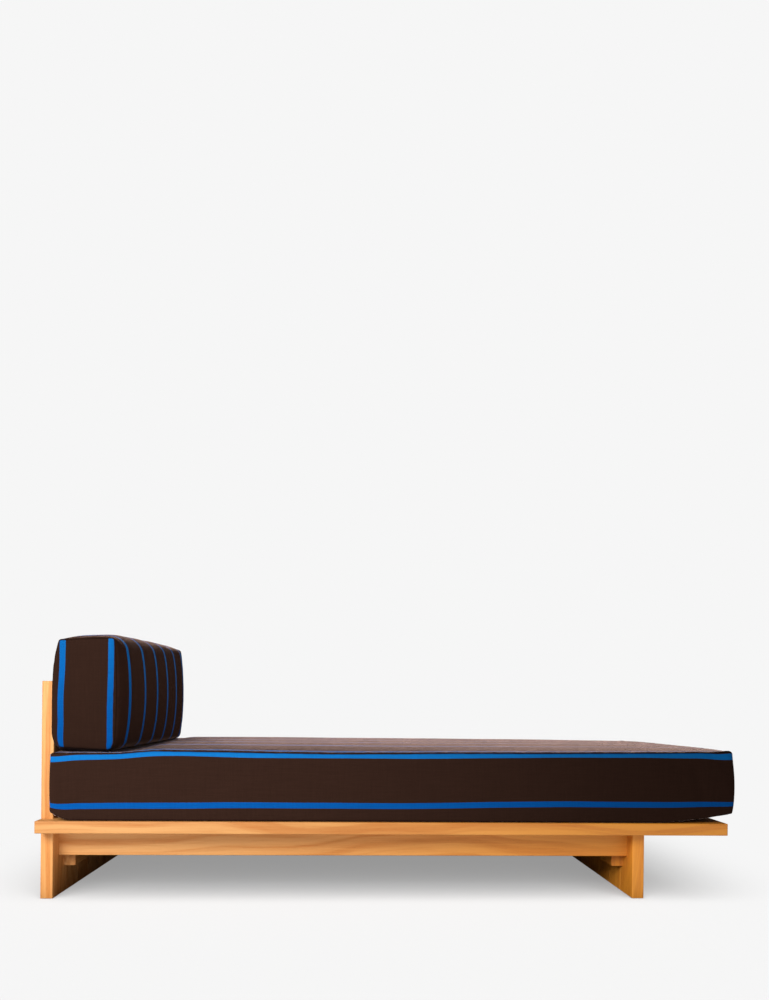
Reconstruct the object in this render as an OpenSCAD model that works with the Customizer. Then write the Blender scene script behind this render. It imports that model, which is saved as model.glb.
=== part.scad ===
// Outdoor daybed: a low slatted timber deck on two plank leg panels, with a plank
// back panel at the head, one long mattress and a loose bolster cushion.
// Millimetres. +X runs from the head to the foot, +Z is up, and the origin lies on
// the floor under the middle of the whole daybed.

/* [Deck] */
// Length of the deck from head to foot
deck_l = 2030; // [1850:10:2200]
// Width of the deck
deck_w = 900; // [760:10:1000]
// Thickness of the deck's rails
deck_t = 36; // [32:1:45]
// Width of the two long rails
rail_w = 140; // [125:1:160]
// Width of the three cross rails
cross_w = 90; // [70:1:100]
// Width of a slat
slat_w = 70; // [50:1:76]
// Thickness of a slat
slat_t = 20; // [16:1:22]
// Width of the ledge that carries the slat ends
ledge_w = 16; // [12:1:24]
// Length of a cross rail's tenon
tenon_l = 40; // [25:1:50]
// Thickness of a tenon
tenon_t = 12; // [8:1:16]
// Shoulder at each side of a tenon
shoulder_w = 10; // [6:1:16]

/* [Legs and back] */
// Height of the deck's underside above the floor
leg_h = 199; // [180:0.5:300]
// Thickness of the leg panels and of the back panel
leg_t = 36; // [32:1:45]
// How far the panels stand in from the deck's long edges
leg_inset = 46; // [40:1:75]
// How far the deck runs on past the foot leg panel
foot_overhang = 235; // [210:5:300]
// Height of the back panel above the deck
back_h = 403; // [300:1:500]
// Number of staves in each panel
stave_n = 8; // [5:1:10]
// Depth of the groove between two staves
groove_d = 1.5; // [1:0.1:3]

/* [Aprons, battens and bearer] */
// Height of an apron
apron_h = 80; // [70:1:95]
// Thickness of an apron
apron_t = 38; // [30:1:42]
// How far an apron stands in from the leg panels' edges
apron_setback = 45; // [30:1:60]
// Height of a leg batten
batten_h = 118; // [100:1:135]
// Thickness of a leg batten
batten_t = 35; // [30:1:45]
// Width of the bearer under the slats
bearer_w = 36; // [25:1:50]
// Height of the bearer
bearer_h = 70; // [50:1:80]
// How far the bearer is let into each batten
bearer_let = 12; // [8:1:16]

/* [Mattress] */
// How far the mattress's end seam passes the end of the deck
mattress_over = 17; // [0:1:20]
// Height of the mattress from seam to seam
mattress_t = 205; // [140:1:240]
// Rise of the top over its seams
mattress_crown = 11; // [4:1:24]
// Swell of the long sides and of the foot end
mattress_bulge = 7; // [2:1:10]
// How far the seams are drawn in between the corners
mattress_draw = 4; // [0:1:8]
// How far the bolster presses the top down
mattress_dip = 9; // [2:1:14]
// Lift of the underside at the foot end
foot_lift = 22; // [0:1:26]
// Rise of the top towards the foot
foot_rise = 8; // [0:1:12]

/* [Bolster] */
// Depth of the bolster at its seams
bolster_d = 178; // [140:1:240]
// Height of the bolster from seam to seam
bolster_h = 334; // [260:1:420]
// How far the bolster's ends stand in from the deck's long edges
bolster_inset = 36; // [20:1:80]
// Rise of its top over the seams
bolster_crown = 22; // [4:1:30]
// Swell of its front
bolster_bulge = 34; // [4:1:40]
// Swell of its ends
bolster_end_bulge = 8; // [2:1:12]
// How far its seams are drawn in between the corners
bolster_draw = 4; // [0:1:8]
// How far its back leans away from the panel at the top
bolster_lean = 12; // [0:1:20]

/* [Cushion make-up] */
// Radius of a cushion's edges
soft_r = 26; // [16:1:32]
// Thickness of the cover with its wadding
wad_t = 20; // [16:1:26]
// Width of a zip's tape
tape_w = 26; // [20:1:32]
// Thickness of a zip's tape
tape_t = 0.8; // [0.5:0.1:1.2]
// Width of a zip's chain
chain_w = 6; // [4:0.5:8]
// Height of a zip's chain
chain_h = 2; // [1.5:0.1:3]
// Length of the mattress zip
mattress_zip_l = 1300; // [900:10:1500]
// Length of the bolster zip
bolster_zip_l = 560; // [400:10:600]

/* [Fasteners] */
// Diameter of the bolts and of the tie rods
bolt_d = 8; // [6:1:8]
// Diameter of a bolt's head
head_d = 13; // [12:0.5:14]
// Height of a bolt's head
head_h = 8; // [6:0.5:8]
// Diameter of a washer
washer_d = 20; // [16:1:22]
// Thickness of a washer
washer_t = 1.6; // [1:0.1:2]
// Diameter of a barrel nut
nut_d = 14; // [12:1:16]
// Length of a barrel nut
nut_l = 22; // [18:1:24]
// Diameter of an apron dowel
dowel_d = 10; // [8:1:12]
// Length of an apron dowel
dowel_l = 44; // [36:1:50]
// Diameter of a tenon peg
peg_d = 9; // [6:1:10]
// Length of a tenon peg
peg_l = 28; // [24:1:30]
// Diameter of a batten screw
batten_screw_d = 5; // [4:0.5:6]
// Length of a batten screw
batten_screw_l = 60; // [48:1:64]
// Diameter of a slat screw
slat_screw_d = 4; // [3:0.5:5]
// Length of a slat screw
slat_screw_l = 28; // [24:1:30]
// Diameter of a glide
glide_d = 30; // [20:1:32]
// Thickness of a glide
glide_t = 5; // [4:0.5:8]
// How far a glide stands below the panel
glide_proud = 1.5; // [1:0.1:3]

/* [Fits and edges] */
// Radius of the timber's eased edges
edge_r = 3; // [1.5:0.5:5]
// Clearance of a wooden joint, all round
joint_gap = 0.2; // [0.1:0.05:0.5]
// Clearance of a bolt in its hole, all round
bolt_gap = 0.3; // [0.2:0.05:0.6]
// Clearance of a fastener in the hole that it fills, all round
snug_gap = 0.05; // [0.02:0.01:0.1]
// Clearance of a cushion from what it lies on or against
soft_gap = 0.3; // [0.2:0.05:1]
// Clearance of a zip slider on its chain
slider_gap = 0.3; // [0.2:0.05:0.5]

/* [Hidden] */
// Slats in the long bay
SLAT_MAIN = 17;

$fn = 32;
// Overshoot of a cutter past the face it opens
cut = 1;

// Colours
teak = "#d9954f";
teak_end = "#c98644";
steel = "#9a9c9e";
brass = "#b08d4a";
cloth = "#3a2823";
foam = "#efe3b5";
plastic = "#2b2b2b";

// Places along the length
mattress_l = deck_l - leg_t - soft_gap + mattress_over;
total_l = deck_l + mattress_over + mattress_bulge;
head_x = -total_l / 2;
deck_end_x = head_x + deck_l;
deck_mid_x = head_x + deck_l / 2;
head_cx = head_x + leg_t / 2;
head_in_x = head_x + leg_t;
foot_out_x = deck_end_x - foot_overhang;
foot_in_x = foot_out_x - leg_t;
foot_cx = (foot_in_x + foot_out_x) / 2;

// Levels
deck_top = leg_h + deck_t;
deck_mid_z = leg_h + deck_t / 2;
slat_z = deck_top - slat_t;
apron_z = leg_h - apron_h / 2;

// Places across the width
leg_w = deck_w - 2 * leg_inset;
rail_y = (deck_w - rail_w) / 2;
rail_in = deck_w / 2 - rail_w;
apron_y = leg_w / 2 - apron_setback - apron_t / 2;
apron_in = apron_y - apron_t / 2;
batten_l = 2 * apron_in;

// Cross rails: middles of the head end rail, of the rail over the foot leg and of the end rail
cross_x = [head_x + cross_w / 2, foot_cx, deck_end_x - cross_w / 2];
tenon_w = cross_w - 2 * shoulder_w;
// Pegs lie at these shares of the tenon's width and length
peg_share = [2 / 7, 0.45];
peg_x = tenon_w * peg_share.x;
peg_y = rail_in + tenon_l * peg_share.y;

// Slats: one long bay and one short bay past the foot leg
bay_x = [cross_x[0] + cross_w / 2, cross_x[1] - cross_w / 2];
slat_gap = (bay_x[1] - bay_x[0] - SLAT_MAIN * slat_w) / (SLAT_MAIN + 1);
end_bay_x = [cross_x[1] + cross_w / 2, cross_x[2] - cross_w / 2];
slat_half = rail_in + ledge_w - joint_gap;
slat_screw_y = rail_in + ledge_w / 2;
function slat_x(i) = i > SLAT_MAIN ? (end_bay_x[0] + end_bay_x[1]) / 2
  : bay_x[0] + slat_gap * i + slat_w * (i - 0.5);

// Bolts through the deck stand over the panels' middles
tie_edge = 20;
tie_mid = 120;
tie_ys = [-(leg_w / 2 - tie_edge), -tie_mid, tie_mid, leg_w / 2 - tie_edge];
tie_low = 60;
tie_above = 52;
tie_high = deck_top + tie_above;
tie_past = 14;
bore_past = 4;
sink_room = [2, 1];
sink_d = washer_d + sink_room[0];
sink_h = head_h + washer_t + sink_room[1];
nut_in = 45;
bolt_past = 8;
apron_bolt_l = leg_t - sink_h + washer_t + nut_in + bolt_past;
foot_bolt_l = deck_top - sink_h + washer_t - tie_low + tie_past;
dowel_off = 24;
dowel_leg = 20;
hex_af = 0.46;
hex_deep = 0.5;

// Screws
screw_head = 2;
screw_head_h = 0.7;
screw_sunk = 0.6;
screw_socket = [0.9, 0.6];
batten_screw_rows = [0.25, 0.72];
batten_screw_z = [for (k = batten_screw_rows) leg_h - batten_h * k];
batten_screw_in = [34, 150];
batten_screw_ys = let (a = batten_l / 2 - batten_screw_in[0], b = batten_l / 2 - batten_screw_in[1])
  [-a, -b, b, a];

// Glides
glide_in = 45;
glide_ys = [glide_in - leg_w / 2, 0, leg_w / 2 - glide_in];
glide_pin_d = 4;
glide_pin_l = 12;

// Roundness of an eased edge, in steps of its quarter circle
arc_n = 3;

// Mattress and bolster, in their own frames: the middle of the underside
mattress_w = deck_w;
mattress_mid_x = head_in_x + soft_gap + mattress_l / 2;
mattress_z = deck_top + soft_gap;
bolster_l = deck_w - 2 * bolster_inset;
bolster_mid_x = head_in_x + 2 * soft_gap + bolster_d / 2;
bolster_z = mattress_z + mattress_t - mattress_dip + soft_gap;
bolster_front = head_in_x + 2 * soft_gap + bolster_d;
dip_run = 190;
lift_run = 150;
placket_in = 7;
placket_room = 6;
placket_h = tape_w + placket_room;
mattress_zip_z = mattress_t / 2;
bolster_zip_z = 62;
core_bevel = [70, 26];
core_gap = 0.5;
zip_stop = 1.4;
chain_sunk = 0.25;
slider_in = 40;
slider_l = 14;
slider_wall = 1.4;
tab_l = 26;
tab_w = 8;
tab_t = 1.2;

// Outline helpers

// Corner points of a rectangle with rounded corners, about its middle
function round_rect(w, d, r) = [for (k = [0:3]) let (c = [[1, 1], [-1, 1], [-1, -1], [1, -1]][k])
  for (i = [0:arc_n]) let (a = 90 * k + 90 * i / arc_n)
    [c.x * (w / 2 - r) + r * cos(a), c.y * (d / 2 - r) + r * sin(a)]];

// One grooved face of a panel, from its near edge to its far edge
function groove_points(x, w, d) = [for (i = [1:stave_n - 1]) let (y = i * w / stave_n - w / 2)
  for (g = [[0, -d], [-d, 0], [0, d]]) [x + g.x * sign(x), y + g.y]];
function reversed(list) = [for (i = [len(list) - 1:-1:0]) list[i]];

// Plan of a panel of upright staves with eased corners and a groove at each joint
function stave_plan(t, w, d, r) = let (q = round_rect(t, w, r), n = arc_n + 1)
  concat([for (i = [0:n - 1]) q[3 * n + i]], groove_points(t / 2, w, d),
    [for (i = [0:2 * n - 1]) q[i]], reversed(groove_points(-t / 2, w, d)),
    [for (i = [2 * n:3 * n - 1]) q[i]]);

// A bar along X, Y or Z with a rounded section, about its middle
module bar_x(l, w, h, r = edge_r) rotate([90, 0, 90]) linear_extrude(l, center = true)
  polygon(round_rect(w, h, r));
module bar_y(l, w, h, r = edge_r) rotate([90, 0, 0]) linear_extrude(w, center = true)
  polygon(round_rect(l, h, r));
module bar_z(l, w, h, r = edge_r) linear_extrude(h, center = true) polygon(round_rect(l, w, r));

// A board with every edge eased
module board(l, w, h) intersection() {
  bar_x(l, w, h);
  bar_y(l, w, h);
  bar_z(l, w, h);
}

// Fasteners, each with its head's seat at the origin and its shank down -Z

module bolt(l) difference() {
  union() {
    cylinder(h = head_h, d = head_d);
    translate([0, 0, -l]) cylinder(h = l + cut, d = bolt_d);
  }
  translate([0, 0, head_h * (1 - hex_deep)])
    cylinder(h = head_h, d = head_d * hex_af * 2 / sqrt(3), $fn = 6);
}

module bolt_bore(l) translate([0, 0, -l - bore_past])
  cylinder(h = l + bore_past + cut, d = bolt_d + 2 * bolt_gap);

module washer() difference() {
  cylinder(h = washer_t, d = washer_d);
  translate([0, 0, -cut]) cylinder(h = washer_t + 2 * cut, d = bolt_d + 2 * bolt_gap);
}

// A barrel nut along Z with its threaded cross hole along X, slotted at its upper end
module barrel_nut() difference() {
  translate([0, 0, -nut_l / 2]) cylinder(h = nut_l, d = nut_d);
  rotate([0, 90, 0]) cylinder(h = nut_d + 2 * cut, d = bolt_d + 2 * snug_gap, center = true);
  translate([0, 0, nut_l / 2]) cube([nut_d + cut, nut_d / 8, nut_l / 8], center = true);
}

// The blind hole of a barrel nut, open towards +Z at the given depth
module nut_bore(open) translate([0, 0, -nut_l / 2 - snug_gap])
  cylinder(h = nut_l / 2 + snug_gap + open + cut, d = nut_d + 2 * snug_gap);

module screw(l, d) difference() {
  union() {
    translate([0, 0, -d * screw_head_h]) cylinder(h = d * screw_head_h, r1 = d / 2, r2 = d * screw_head / 2);
    translate([0, 0, -l + d]) cylinder(h = l - d - d * screw_head_h / 2, d = d);
    translate([0, 0, -l]) cylinder(h = d + snug_gap, r1 = d / 8, r2 = d / 2);
  }
  translate([0, 0, -d * screw_head_h * screw_socket[1]])
    cylinder(h = d, d = d * screw_socket[0], $fn = 6);
}

module screw_bore(l, d) {
  translate([0, 0, -l - snug_gap]) cylinder(h = l, d = d + 2 * snug_gap);
  translate([0, 0, -d * screw_head_h - snug_gap]) cylinder(h = d * screw_head_h + snug_gap,
    r1 = d / 2 + snug_gap, r2 = d * screw_head / 2 + 2 * snug_gap);
  cylinder(h = screw_sunk + cut, r = d * screw_head / 2 + 2 * snug_gap);
}

// Where the fasteners sit

// Both ends of an apron: e is -1 at the head and 1 at the foot, s is -1 near and 1 far
module at_apron_end(e, s, in) translate([e < 0 ? head_x + in : foot_out_x - in, s * apron_y, apron_z])
  rotate([0, e * 90, 0]) children();

module apron_bolt_bore(e, s) {
  at_apron_end(e, s, sink_h) bolt_bore(apron_bolt_l - washer_t);
  at_apron_end(e, s, sink_h) cylinder(h = sink_h + cut, d = sink_d);
}

module apron_nut_place(e, s)
  translate([e < 0 ? head_in_x + nut_in : foot_in_x - nut_in, s * apron_y, apron_z])
    rotate([s * 90, 0, 0]) children();

module at_dowel(e, s, k) translate([e < 0 ? head_in_x : foot_in_x, s * apron_y, apron_z + k * dowel_off])
  rotate([0, e * 90, 0]) children();

module dowel_bore(e, s) for (k = [-1, 1]) at_dowel(e, s, k)
  translate([0, 0, -(dowel_l - dowel_leg) - joint_gap])
    cylinder(h = dowel_l + 2 * joint_gap, d = dowel_d + 2 * snug_gap);

// A panel's barrel nut: its hole opens towards the head (dir -1) or towards the foot (dir 1)
module leg_nut_place(x, dir, y, z) translate([x, y, z]) rotate([0, dir * 90, 0]) children();

module tie_bore(y) translate([head_cx, y, tie_low - tie_past - bore_past])
  cylinder(h = tie_high - tie_low + 2 * (tie_past + bore_past), d = bolt_d + 2 * bolt_gap);

module foot_bolt_bore(y) {
  translate([foot_cx, y, deck_top - sink_h]) bolt_bore(foot_bolt_l - washer_t);
  translate([foot_cx, y, deck_top - sink_h]) cylinder(h = sink_h + cut, d = sink_d);
}

module at_peg(x, s, k) translate([x + k * peg_x, s * peg_y, deck_top]) children();

module peg_bore(x, s) for (k = [-1, 1]) at_peg(x, s, k) translate([0, 0, -peg_l - joint_gap])
  cylinder(h = peg_l + joint_gap + cut, d = peg_d + 2 * snug_gap);

// Batten screws run through the batten into the leg panel: dir is -1 at the head, 1 at the foot
module at_batten_screw(dir, i)
  translate([(dir < 0 ? head_in_x + batten_t - screw_sunk : foot_in_x - batten_t + screw_sunk),
    batten_screw_ys[i], batten_screw_z[i % 2]])
    rotate([0, -dir * 90, 0]) children();

module at_slat_screw(i, s) translate([slat_x(i), s * slat_screw_y, deck_top - screw_sunk]) children();

// Timber

module leg_panel(x, dir) difference() {
  translate([x, 0, glide_proud]) linear_extrude(leg_h - glide_proud)
    polygon(stave_plan(leg_t, leg_w, groove_d, edge_r));
  for (s = [-1, 1]) {
    apron_bolt_bore(dir, s);
    dowel_bore(dir, s);
  }
  for (y = tie_ys) {
    if (dir < 0) tie_bore(y);
    else foot_bolt_bore(y);
    leg_nut_place(x, dir, y, tie_low) nut_bore(leg_t / 2);
  }
  for (i = [0:3]) at_batten_screw(dir, i) screw_bore(batten_screw_l, batten_screw_d);
  for (y = glide_ys) translate([x, y, 0]) glide_seat();
}

module head_leg() color(teak) leg_panel(head_cx, -1);
module foot_leg() color(teak) leg_panel(foot_cx, 1);

// The back panel stands on the deck, and its top edge is eased
module back_panel() color(teak) difference() {
  intersection() {
    translate([head_cx, 0, deck_top]) linear_extrude(back_h)
      polygon(stave_plan(leg_t, leg_w, groove_d, edge_r));
    translate([head_cx, 0, deck_top - edge_r + (back_h + edge_r) / 2])
      bar_y(leg_t, leg_w, back_h + edge_r);
    translate([head_cx, 0, deck_top - edge_r + (back_h + edge_r) / 2])
      bar_x(leg_t, leg_w, back_h + edge_r);
  }
  for (y = tie_ys) {
    tie_bore(y);
    leg_nut_place(head_cx, 1, y, tie_high) nut_bore(leg_t / 2);
  }
}

module apron(s) difference() {
  translate([(head_in_x + foot_in_x) / 2, s * apron_y, apron_z])
    bar_x(foot_in_x - head_in_x, apron_t, apron_h);
  for (e = [-1, 1]) {
    apron_bolt_bore(e, s);
    dowel_bore(e, s);
    apron_nut_place(e, s) nut_bore(apron_t / 2);
  }
}

module near_apron() color(teak) apron(-1);
module far_apron() color(teak) apron(1);

module leg_batten(dir) difference() {
  translate([dir < 0 ? head_in_x + batten_t / 2 : foot_in_x - batten_t / 2, 0, leg_h - batten_h / 2])
    bar_y(batten_t, batten_l, batten_h);
  for (i = [0:3]) at_batten_screw(dir, i) screw_bore(batten_screw_l, batten_screw_d);
  translate([dir < 0 ? head_in_x + batten_t - bearer_let - joint_gap : foot_in_x - batten_t - cut,
    -bearer_w / 2 - joint_gap, slat_z - bearer_h - joint_gap])
    cube([bearer_let + joint_gap + cut, bearer_w + 2 * joint_gap, bearer_h]);
}

module head_batten() color(teak_end) leg_batten(-1);
module foot_batten() color(teak_end) leg_batten(1);

// A long rail: ledges for the slats, mortises for the cross rails
module long_rail(s) difference() {
  translate([deck_mid_x, s * rail_y, deck_mid_z]) board(deck_l, rail_w, deck_t);
  for (bay = [bay_x, end_bay_x]) translate([bay[0], s * (rail_in + (ledge_w - cut) / 2), slat_z + slat_t / 2])
    translate([0, -(ledge_w + cut) / 2, -slat_t / 2]) cube([bay[1] - bay[0], ledge_w + cut, slat_t + cut]);
  for (x = cross_x) {
    translate([x, s * (rail_in + (tenon_l - cut) / 2), deck_mid_z])
      cube([tenon_w + 2 * joint_gap, tenon_l + 2 * joint_gap + cut, tenon_t + 2 * joint_gap], center = true);
    peg_bore(x, s);
  }
  for (i = [1:SLAT_MAIN + 1]) at_slat_screw(i, s) screw_bore(slat_screw_l, slat_screw_d);
  tie_bore(s * tie_ys[3]);
  foot_bolt_bore(s * tie_ys[3]);
}

module near_rail() color(teak) long_rail(-1);
module far_rail() color(teak) long_rail(1);

module cross_rail(x) {
  translate([x, 0, deck_mid_z]) {
    bar_y(cross_w, 2 * rail_in, deck_t);
    for (s = [-1, 1]) translate([0, s * (rail_in + (tenon_l - cut) / 2), 0])
      bar_y(tenon_w, tenon_l + cut, tenon_t, 1);
  }
}

module head_end_rail() color(teak) difference() {
  cross_rail(cross_x[0]);
  for (s = [-1, 1]) peg_bore(cross_x[0], s);
  for (y = [tie_ys[1], tie_ys[2]]) tie_bore(y);
}

module leg_cross_rail() color(teak) difference() {
  cross_rail(cross_x[1]);
  for (s = [-1, 1]) peg_bore(cross_x[1], s);
  for (y = [tie_ys[1], tie_ys[2]]) foot_bolt_bore(y);
}

module foot_end_rail() color(teak) difference() {
  cross_rail(cross_x[2]);
  for (s = [-1, 1]) peg_bore(cross_x[2], s);
}

// The bearer passes under the slats and steps down where it enters the battens
module centre_bearer() color(teak_end)
  let (x = [head_in_x + batten_t - bearer_let, bay_x[0] + joint_gap, bay_x[1] - joint_gap,
      foot_in_x - batten_t + bearer_let],
    z = [slat_z - bearer_h, leg_h - joint_gap, slat_z])
    rotate([90, 0, 0]) linear_extrude(bearer_w, center = true)
      polygon([[x[0], z[0]], [x[3], z[0]], [x[3], z[1]], [x[2], z[1]], [x[2], z[2]],
        [x[1], z[2]], [x[1], z[1]], [x[0], z[1]]]);

module slat(i) color(i % 2 == 0 ? teak : teak_end) difference() {
  translate([slat_x(i), 0, deck_top - slat_t / 2]) board(slat_w, 2 * slat_half, slat_t);
  for (s = [-1, 1]) at_slat_screw(i, s) screw_bore(slat_screw_l, slat_screw_d);
}

// Fasteners and feet

module tie_rods() color(steel) for (y = tie_ys)
  translate([head_cx, y, tie_low - tie_past])
    cylinder(h = tie_high - tie_low + 2 * tie_past, d = bolt_d);

module foot_bolts() color(steel) for (y = tie_ys)
  translate([foot_cx, y, deck_top - sink_h + washer_t]) bolt(foot_bolt_l);

module apron_bolts() color(steel) for (e = [-1, 1], s = [-1, 1])
  at_apron_end(e, s, sink_h - washer_t) bolt(apron_bolt_l);

module bolt_washers() color(steel) {
  for (e = [-1, 1], s = [-1, 1]) at_apron_end(e, s, sink_h) washer();
  for (y = tie_ys) translate([foot_cx, y, deck_top - sink_h]) washer();
}

module barrel_nuts() color(brass) {
  for (y = tie_ys) {
    leg_nut_place(head_cx, -1, y, tie_low) barrel_nut();
    leg_nut_place(head_cx, 1, y, tie_high) barrel_nut();
    leg_nut_place(foot_cx, 1, y, tie_low) barrel_nut();
  }
  for (e = [-1, 1], s = [-1, 1]) apron_nut_place(e, s) barrel_nut();
}

module apron_dowels() color(teak_end) for (e = [-1, 1], s = [-1, 1], k = [-1, 1]) at_dowel(e, s, k)
  translate([0, 0, -(dowel_l - dowel_leg)]) cylinder(h = dowel_l, d = dowel_d);

module tenon_pegs() color(teak_end) for (x = cross_x, s = [-1, 1], k = [-1, 1]) at_peg(x, s, k)
  translate([0, 0, -peg_l]) cylinder(h = peg_l, d = peg_d);

module batten_screws() color(steel) for (dir = [-1, 1], i = [0:3])
  at_batten_screw(dir, i) screw(batten_screw_l, batten_screw_d);

module slat_screws() color(steel) for (i = [1:SLAT_MAIN + 1], s = [-1, 1])
  at_slat_screw(i, s) screw(slat_screw_l, slat_screw_d);

// A glide's foot is dished at its rim; its pin is driven into the panel
module glide() {
  cylinder(h = glide_proud, r1 = glide_d / 2 - glide_proud, r2 = glide_d / 2);
  translate([0, 0, glide_proud]) cylinder(h = glide_t - glide_proud, d = glide_d);
  cylinder(h = glide_t + glide_pin_l, d = glide_pin_d);
}

module glide_seat() {
  cylinder(h = glide_t + snug_gap, d = glide_d + 2 * snug_gap);
  cylinder(h = glide_t + glide_pin_l + snug_gap, d = glide_pin_d + 2 * snug_gap);
}

module leg_glides() color(plastic) for (x = [head_cx, foot_cx], y = glide_ys)
  translate([x, y, 0]) glide();

// Cushions

function clamp(x, lo, hi) = min(max(x, lo), hi);
function ease(s) = let (k = clamp(s, 0, 1)) k * k * (3 - 2 * k);

// Grid lines along one side of a cushion: close over its rounded edges, even between them
arc_share = 0.45;
function edge_lines(half, r) = [half - r, half - arc_share * r, half];
function lines(lo, hi, n) = [for (i = [0:n]) lo + (hi - lo) * i / n];
function even_lines(half, r, n) = let (e = edge_lines(half, r))
  concat([-e[2], -e[1]], lines(-e[0], e[0], n), [e[1], e[2]]);

// A point of a box's surface moved onto the box with rounded edges; z starts at 0
function rounded(q, s, r) = let (a = s / 2,
    c = [clamp(q.x, r - a.x, a.x - r), clamp(q.y, r - a.y, a.y - r), clamp(q.z, r, s.z - r)],
    d = q - c) c + d * r / norm(d);

// Order of the grid lines round the rim, counted anticlockwise from above
function rim(k, nx, ny) = k < nx ? [k, 0] : k < nx + ny ? [nx, k - nx]
  : k < 2 * nx + ny ? [2 * nx + ny - k, ny] : [0, 2 * (nx + ny) - k];
function rim_index(i, j, nx, ny) = j == 0 ? i : i == nx ? nx + j
  : j == ny ? 2 * nx + ny - i : 2 * (nx + ny) - j;

// A closed skin over the box grid xs, ys, zs, each point of it moved by place()
module grid_skin(xs, ys, zs, place) {
  nx = len(xs) - 1;
  ny = len(ys) - 1;
  nz = len(zs) - 1;
  n = 2 * (nx + ny);
  inner = (nx - 1) * (ny - 1);
  walls = [for (z = zs, k = [0:n - 1]) let (g = rim(k, nx, ny)) place([xs[g.x], ys[g.y], z])];
  flats = [for (z = [zs[nz], zs[0]], j = [1:ny - 1], i = [1:nx - 1]) place([xs[i], ys[j], z])];
  // Number of the point at grid place i, j of the top (side 0) or the underside (side 1)
  at = function(i, j, side) i > 0 && i < nx && j > 0 && j < ny
    ? n * (nz + 1) + side * inner + (j - 1) * (nx - 1) + i - 1
    : (side == 0 ? nz * n : 0) + rim_index(i, j, nx, ny);
  side_faces = [for (z = [0:nz - 1], k = [0:n - 1]) let (a = z * n + k, b = z * n + (k + 1) % n)
    for (f = [[a, a + n, b + n], [a, b + n, b]]) f];
  top_faces = [for (i = [0:nx - 1], j = [0:ny - 1])
    let (a = at(i, j, 0), b = at(i, j + 1, 0), c = at(i + 1, j + 1, 0), d = at(i + 1, j, 0))
    for (f = [[a, b, c], [a, c, d]]) f];
  base_faces = [for (i = [0:nx - 1], j = [0:ny - 1])
    let (a = at(i, j, 1), b = at(i, j + 1, 1), c = at(i + 1, j + 1, 1), d = at(i + 1, j, 1))
    for (f = [[a, c, b], [a, d, c]]) f];
  polyhedron(concat(walls, flats), concat(side_faces, top_faces, base_faces), convexity = 4);
}

// The mattress: crowned top, swollen sides with drawn-in seams, a dent under the bolster
mattress_s = [mattress_l, mattress_w, mattress_t];
bolster_rel = bolster_front - mattress_mid_x;
function under_bolster(x) = 1 - ease((x - bolster_rel - soft_gap) / dip_run);
function mattress_place(q) = let (p = rounded(q, mattress_s, soft_r),
    u = 2 * p.x / mattress_l, v = 2 * p.y / mattress_w, t = p.z / mattress_t,
    mid = 4 * t * (1 - t), dent = under_bolster(p.x), end = u > 0 ? 1 : 0,
    side = mattress_bulge * mid - mattress_draw * (1 - mid) * (1 - pow(u, 4)),
    foot = mattress_bulge * mid * (1 - pow(v, 8)) - mattress_draw * (1 - mid) * (1 - pow(v, 4)),
    crown = mattress_crown * (1 - pow(u, 6)) * (1 - v * v) + foot_rise * end * u * u,
    lift = foot_lift * pow(clamp((p.x - mattress_l / 2 + lift_run) / lift_run, 0, 1), 1.6))
  [p.x + end * pow(u, 9) * foot, p.y + sign(v) * pow(abs(v), 5) * side,
    p.z + t * (crown * (1 - dent) - mattress_dip * dent) + (1 - t) * lift];

mattress_xs = let (e = edge_lines(mattress_l / 2, soft_r), f = bolster_rel + soft_gap)
  concat([-e[2], -e[1], -e[0]], lines(f, f + dip_run, 4),
    [for (x = lines(f + dip_run, mattress_l / 2 - lift_run, 6)) if (x > f + dip_run + cut) x],
    [for (x = lines(mattress_l / 2 - lift_run, e[0], 3)) if (x > mattress_l / 2 - lift_run + cut) x],
    [e[1], e[2]]);
mattress_ys = even_lines(mattress_w / 2, soft_r, 10);
mattress_zs = [for (z = even_lines(mattress_t / 2, soft_r, 4)) z + mattress_t / 2];

// The block of foam inside, bevelled at the foot where the underside lifts
module mattress_block(gap) translate([mattress_mid_x, 0, mattress_z])
  rotate([90, 0, 0]) linear_extrude(mattress_w - 2 * wad_t + 2 * gap, center = true)
    let (x = mattress_l / 2 - wad_t + gap, z0 = wad_t - gap, z1 = mattress_t - mattress_dip - wad_t + gap)
      polygon([[-x, z0], [x - core_bevel.x, z0], [x, z0 + core_bevel.y], [x, z1], [-x, z1]]);

// Straight recess in the cover that keeps the zip flush
module mattress_placket()
  translate([mattress_mid_x, mattress_w / 2 + mattress_bulge, mattress_z + mattress_zip_z])
    cube([mattress_zip_l + tape_w, 2 * (mattress_bulge + placket_in), placket_h], center = true);

module mattress_cover() color(cloth) difference() {
  translate([mattress_mid_x, 0, mattress_z])
    grid_skin(mattress_xs, mattress_ys, mattress_zs, function(q) mattress_place(q));
  mattress_block(core_gap);
  mattress_placket();
}

module mattress_core() color(foam) mattress_block(0);

// The bolster: swollen front and ends, crowned top, flat base, back leaning off the panel
bolster_s = [bolster_d, bolster_l, bolster_h];
function bolster_place(q) = let (p = rounded(q, bolster_s, soft_r),
    u = 2 * p.x / bolster_d, v = 2 * p.y / bolster_l, t = p.z / bolster_h, mid = 4 * t * (1 - t),
    front = bolster_bulge * mid * (1 - pow(v, 6)) - bolster_draw * (1 - mid) * (1 - pow(v, 4)),
    ends = bolster_end_bulge * mid * (1 - pow(u, 4)) - bolster_draw * (1 - mid) * (1 - pow(u, 4)),
    crown = bolster_crown * (1 - pow(u, 4)) * (1 - pow(v, 6)))
  [p.x + (u > 0 ? pow(u, 3) * front : -u * u * u * bolster_lean * t * t),
    p.y + sign(v) * pow(abs(v), 5) * ends, p.z + t * crown];

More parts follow.
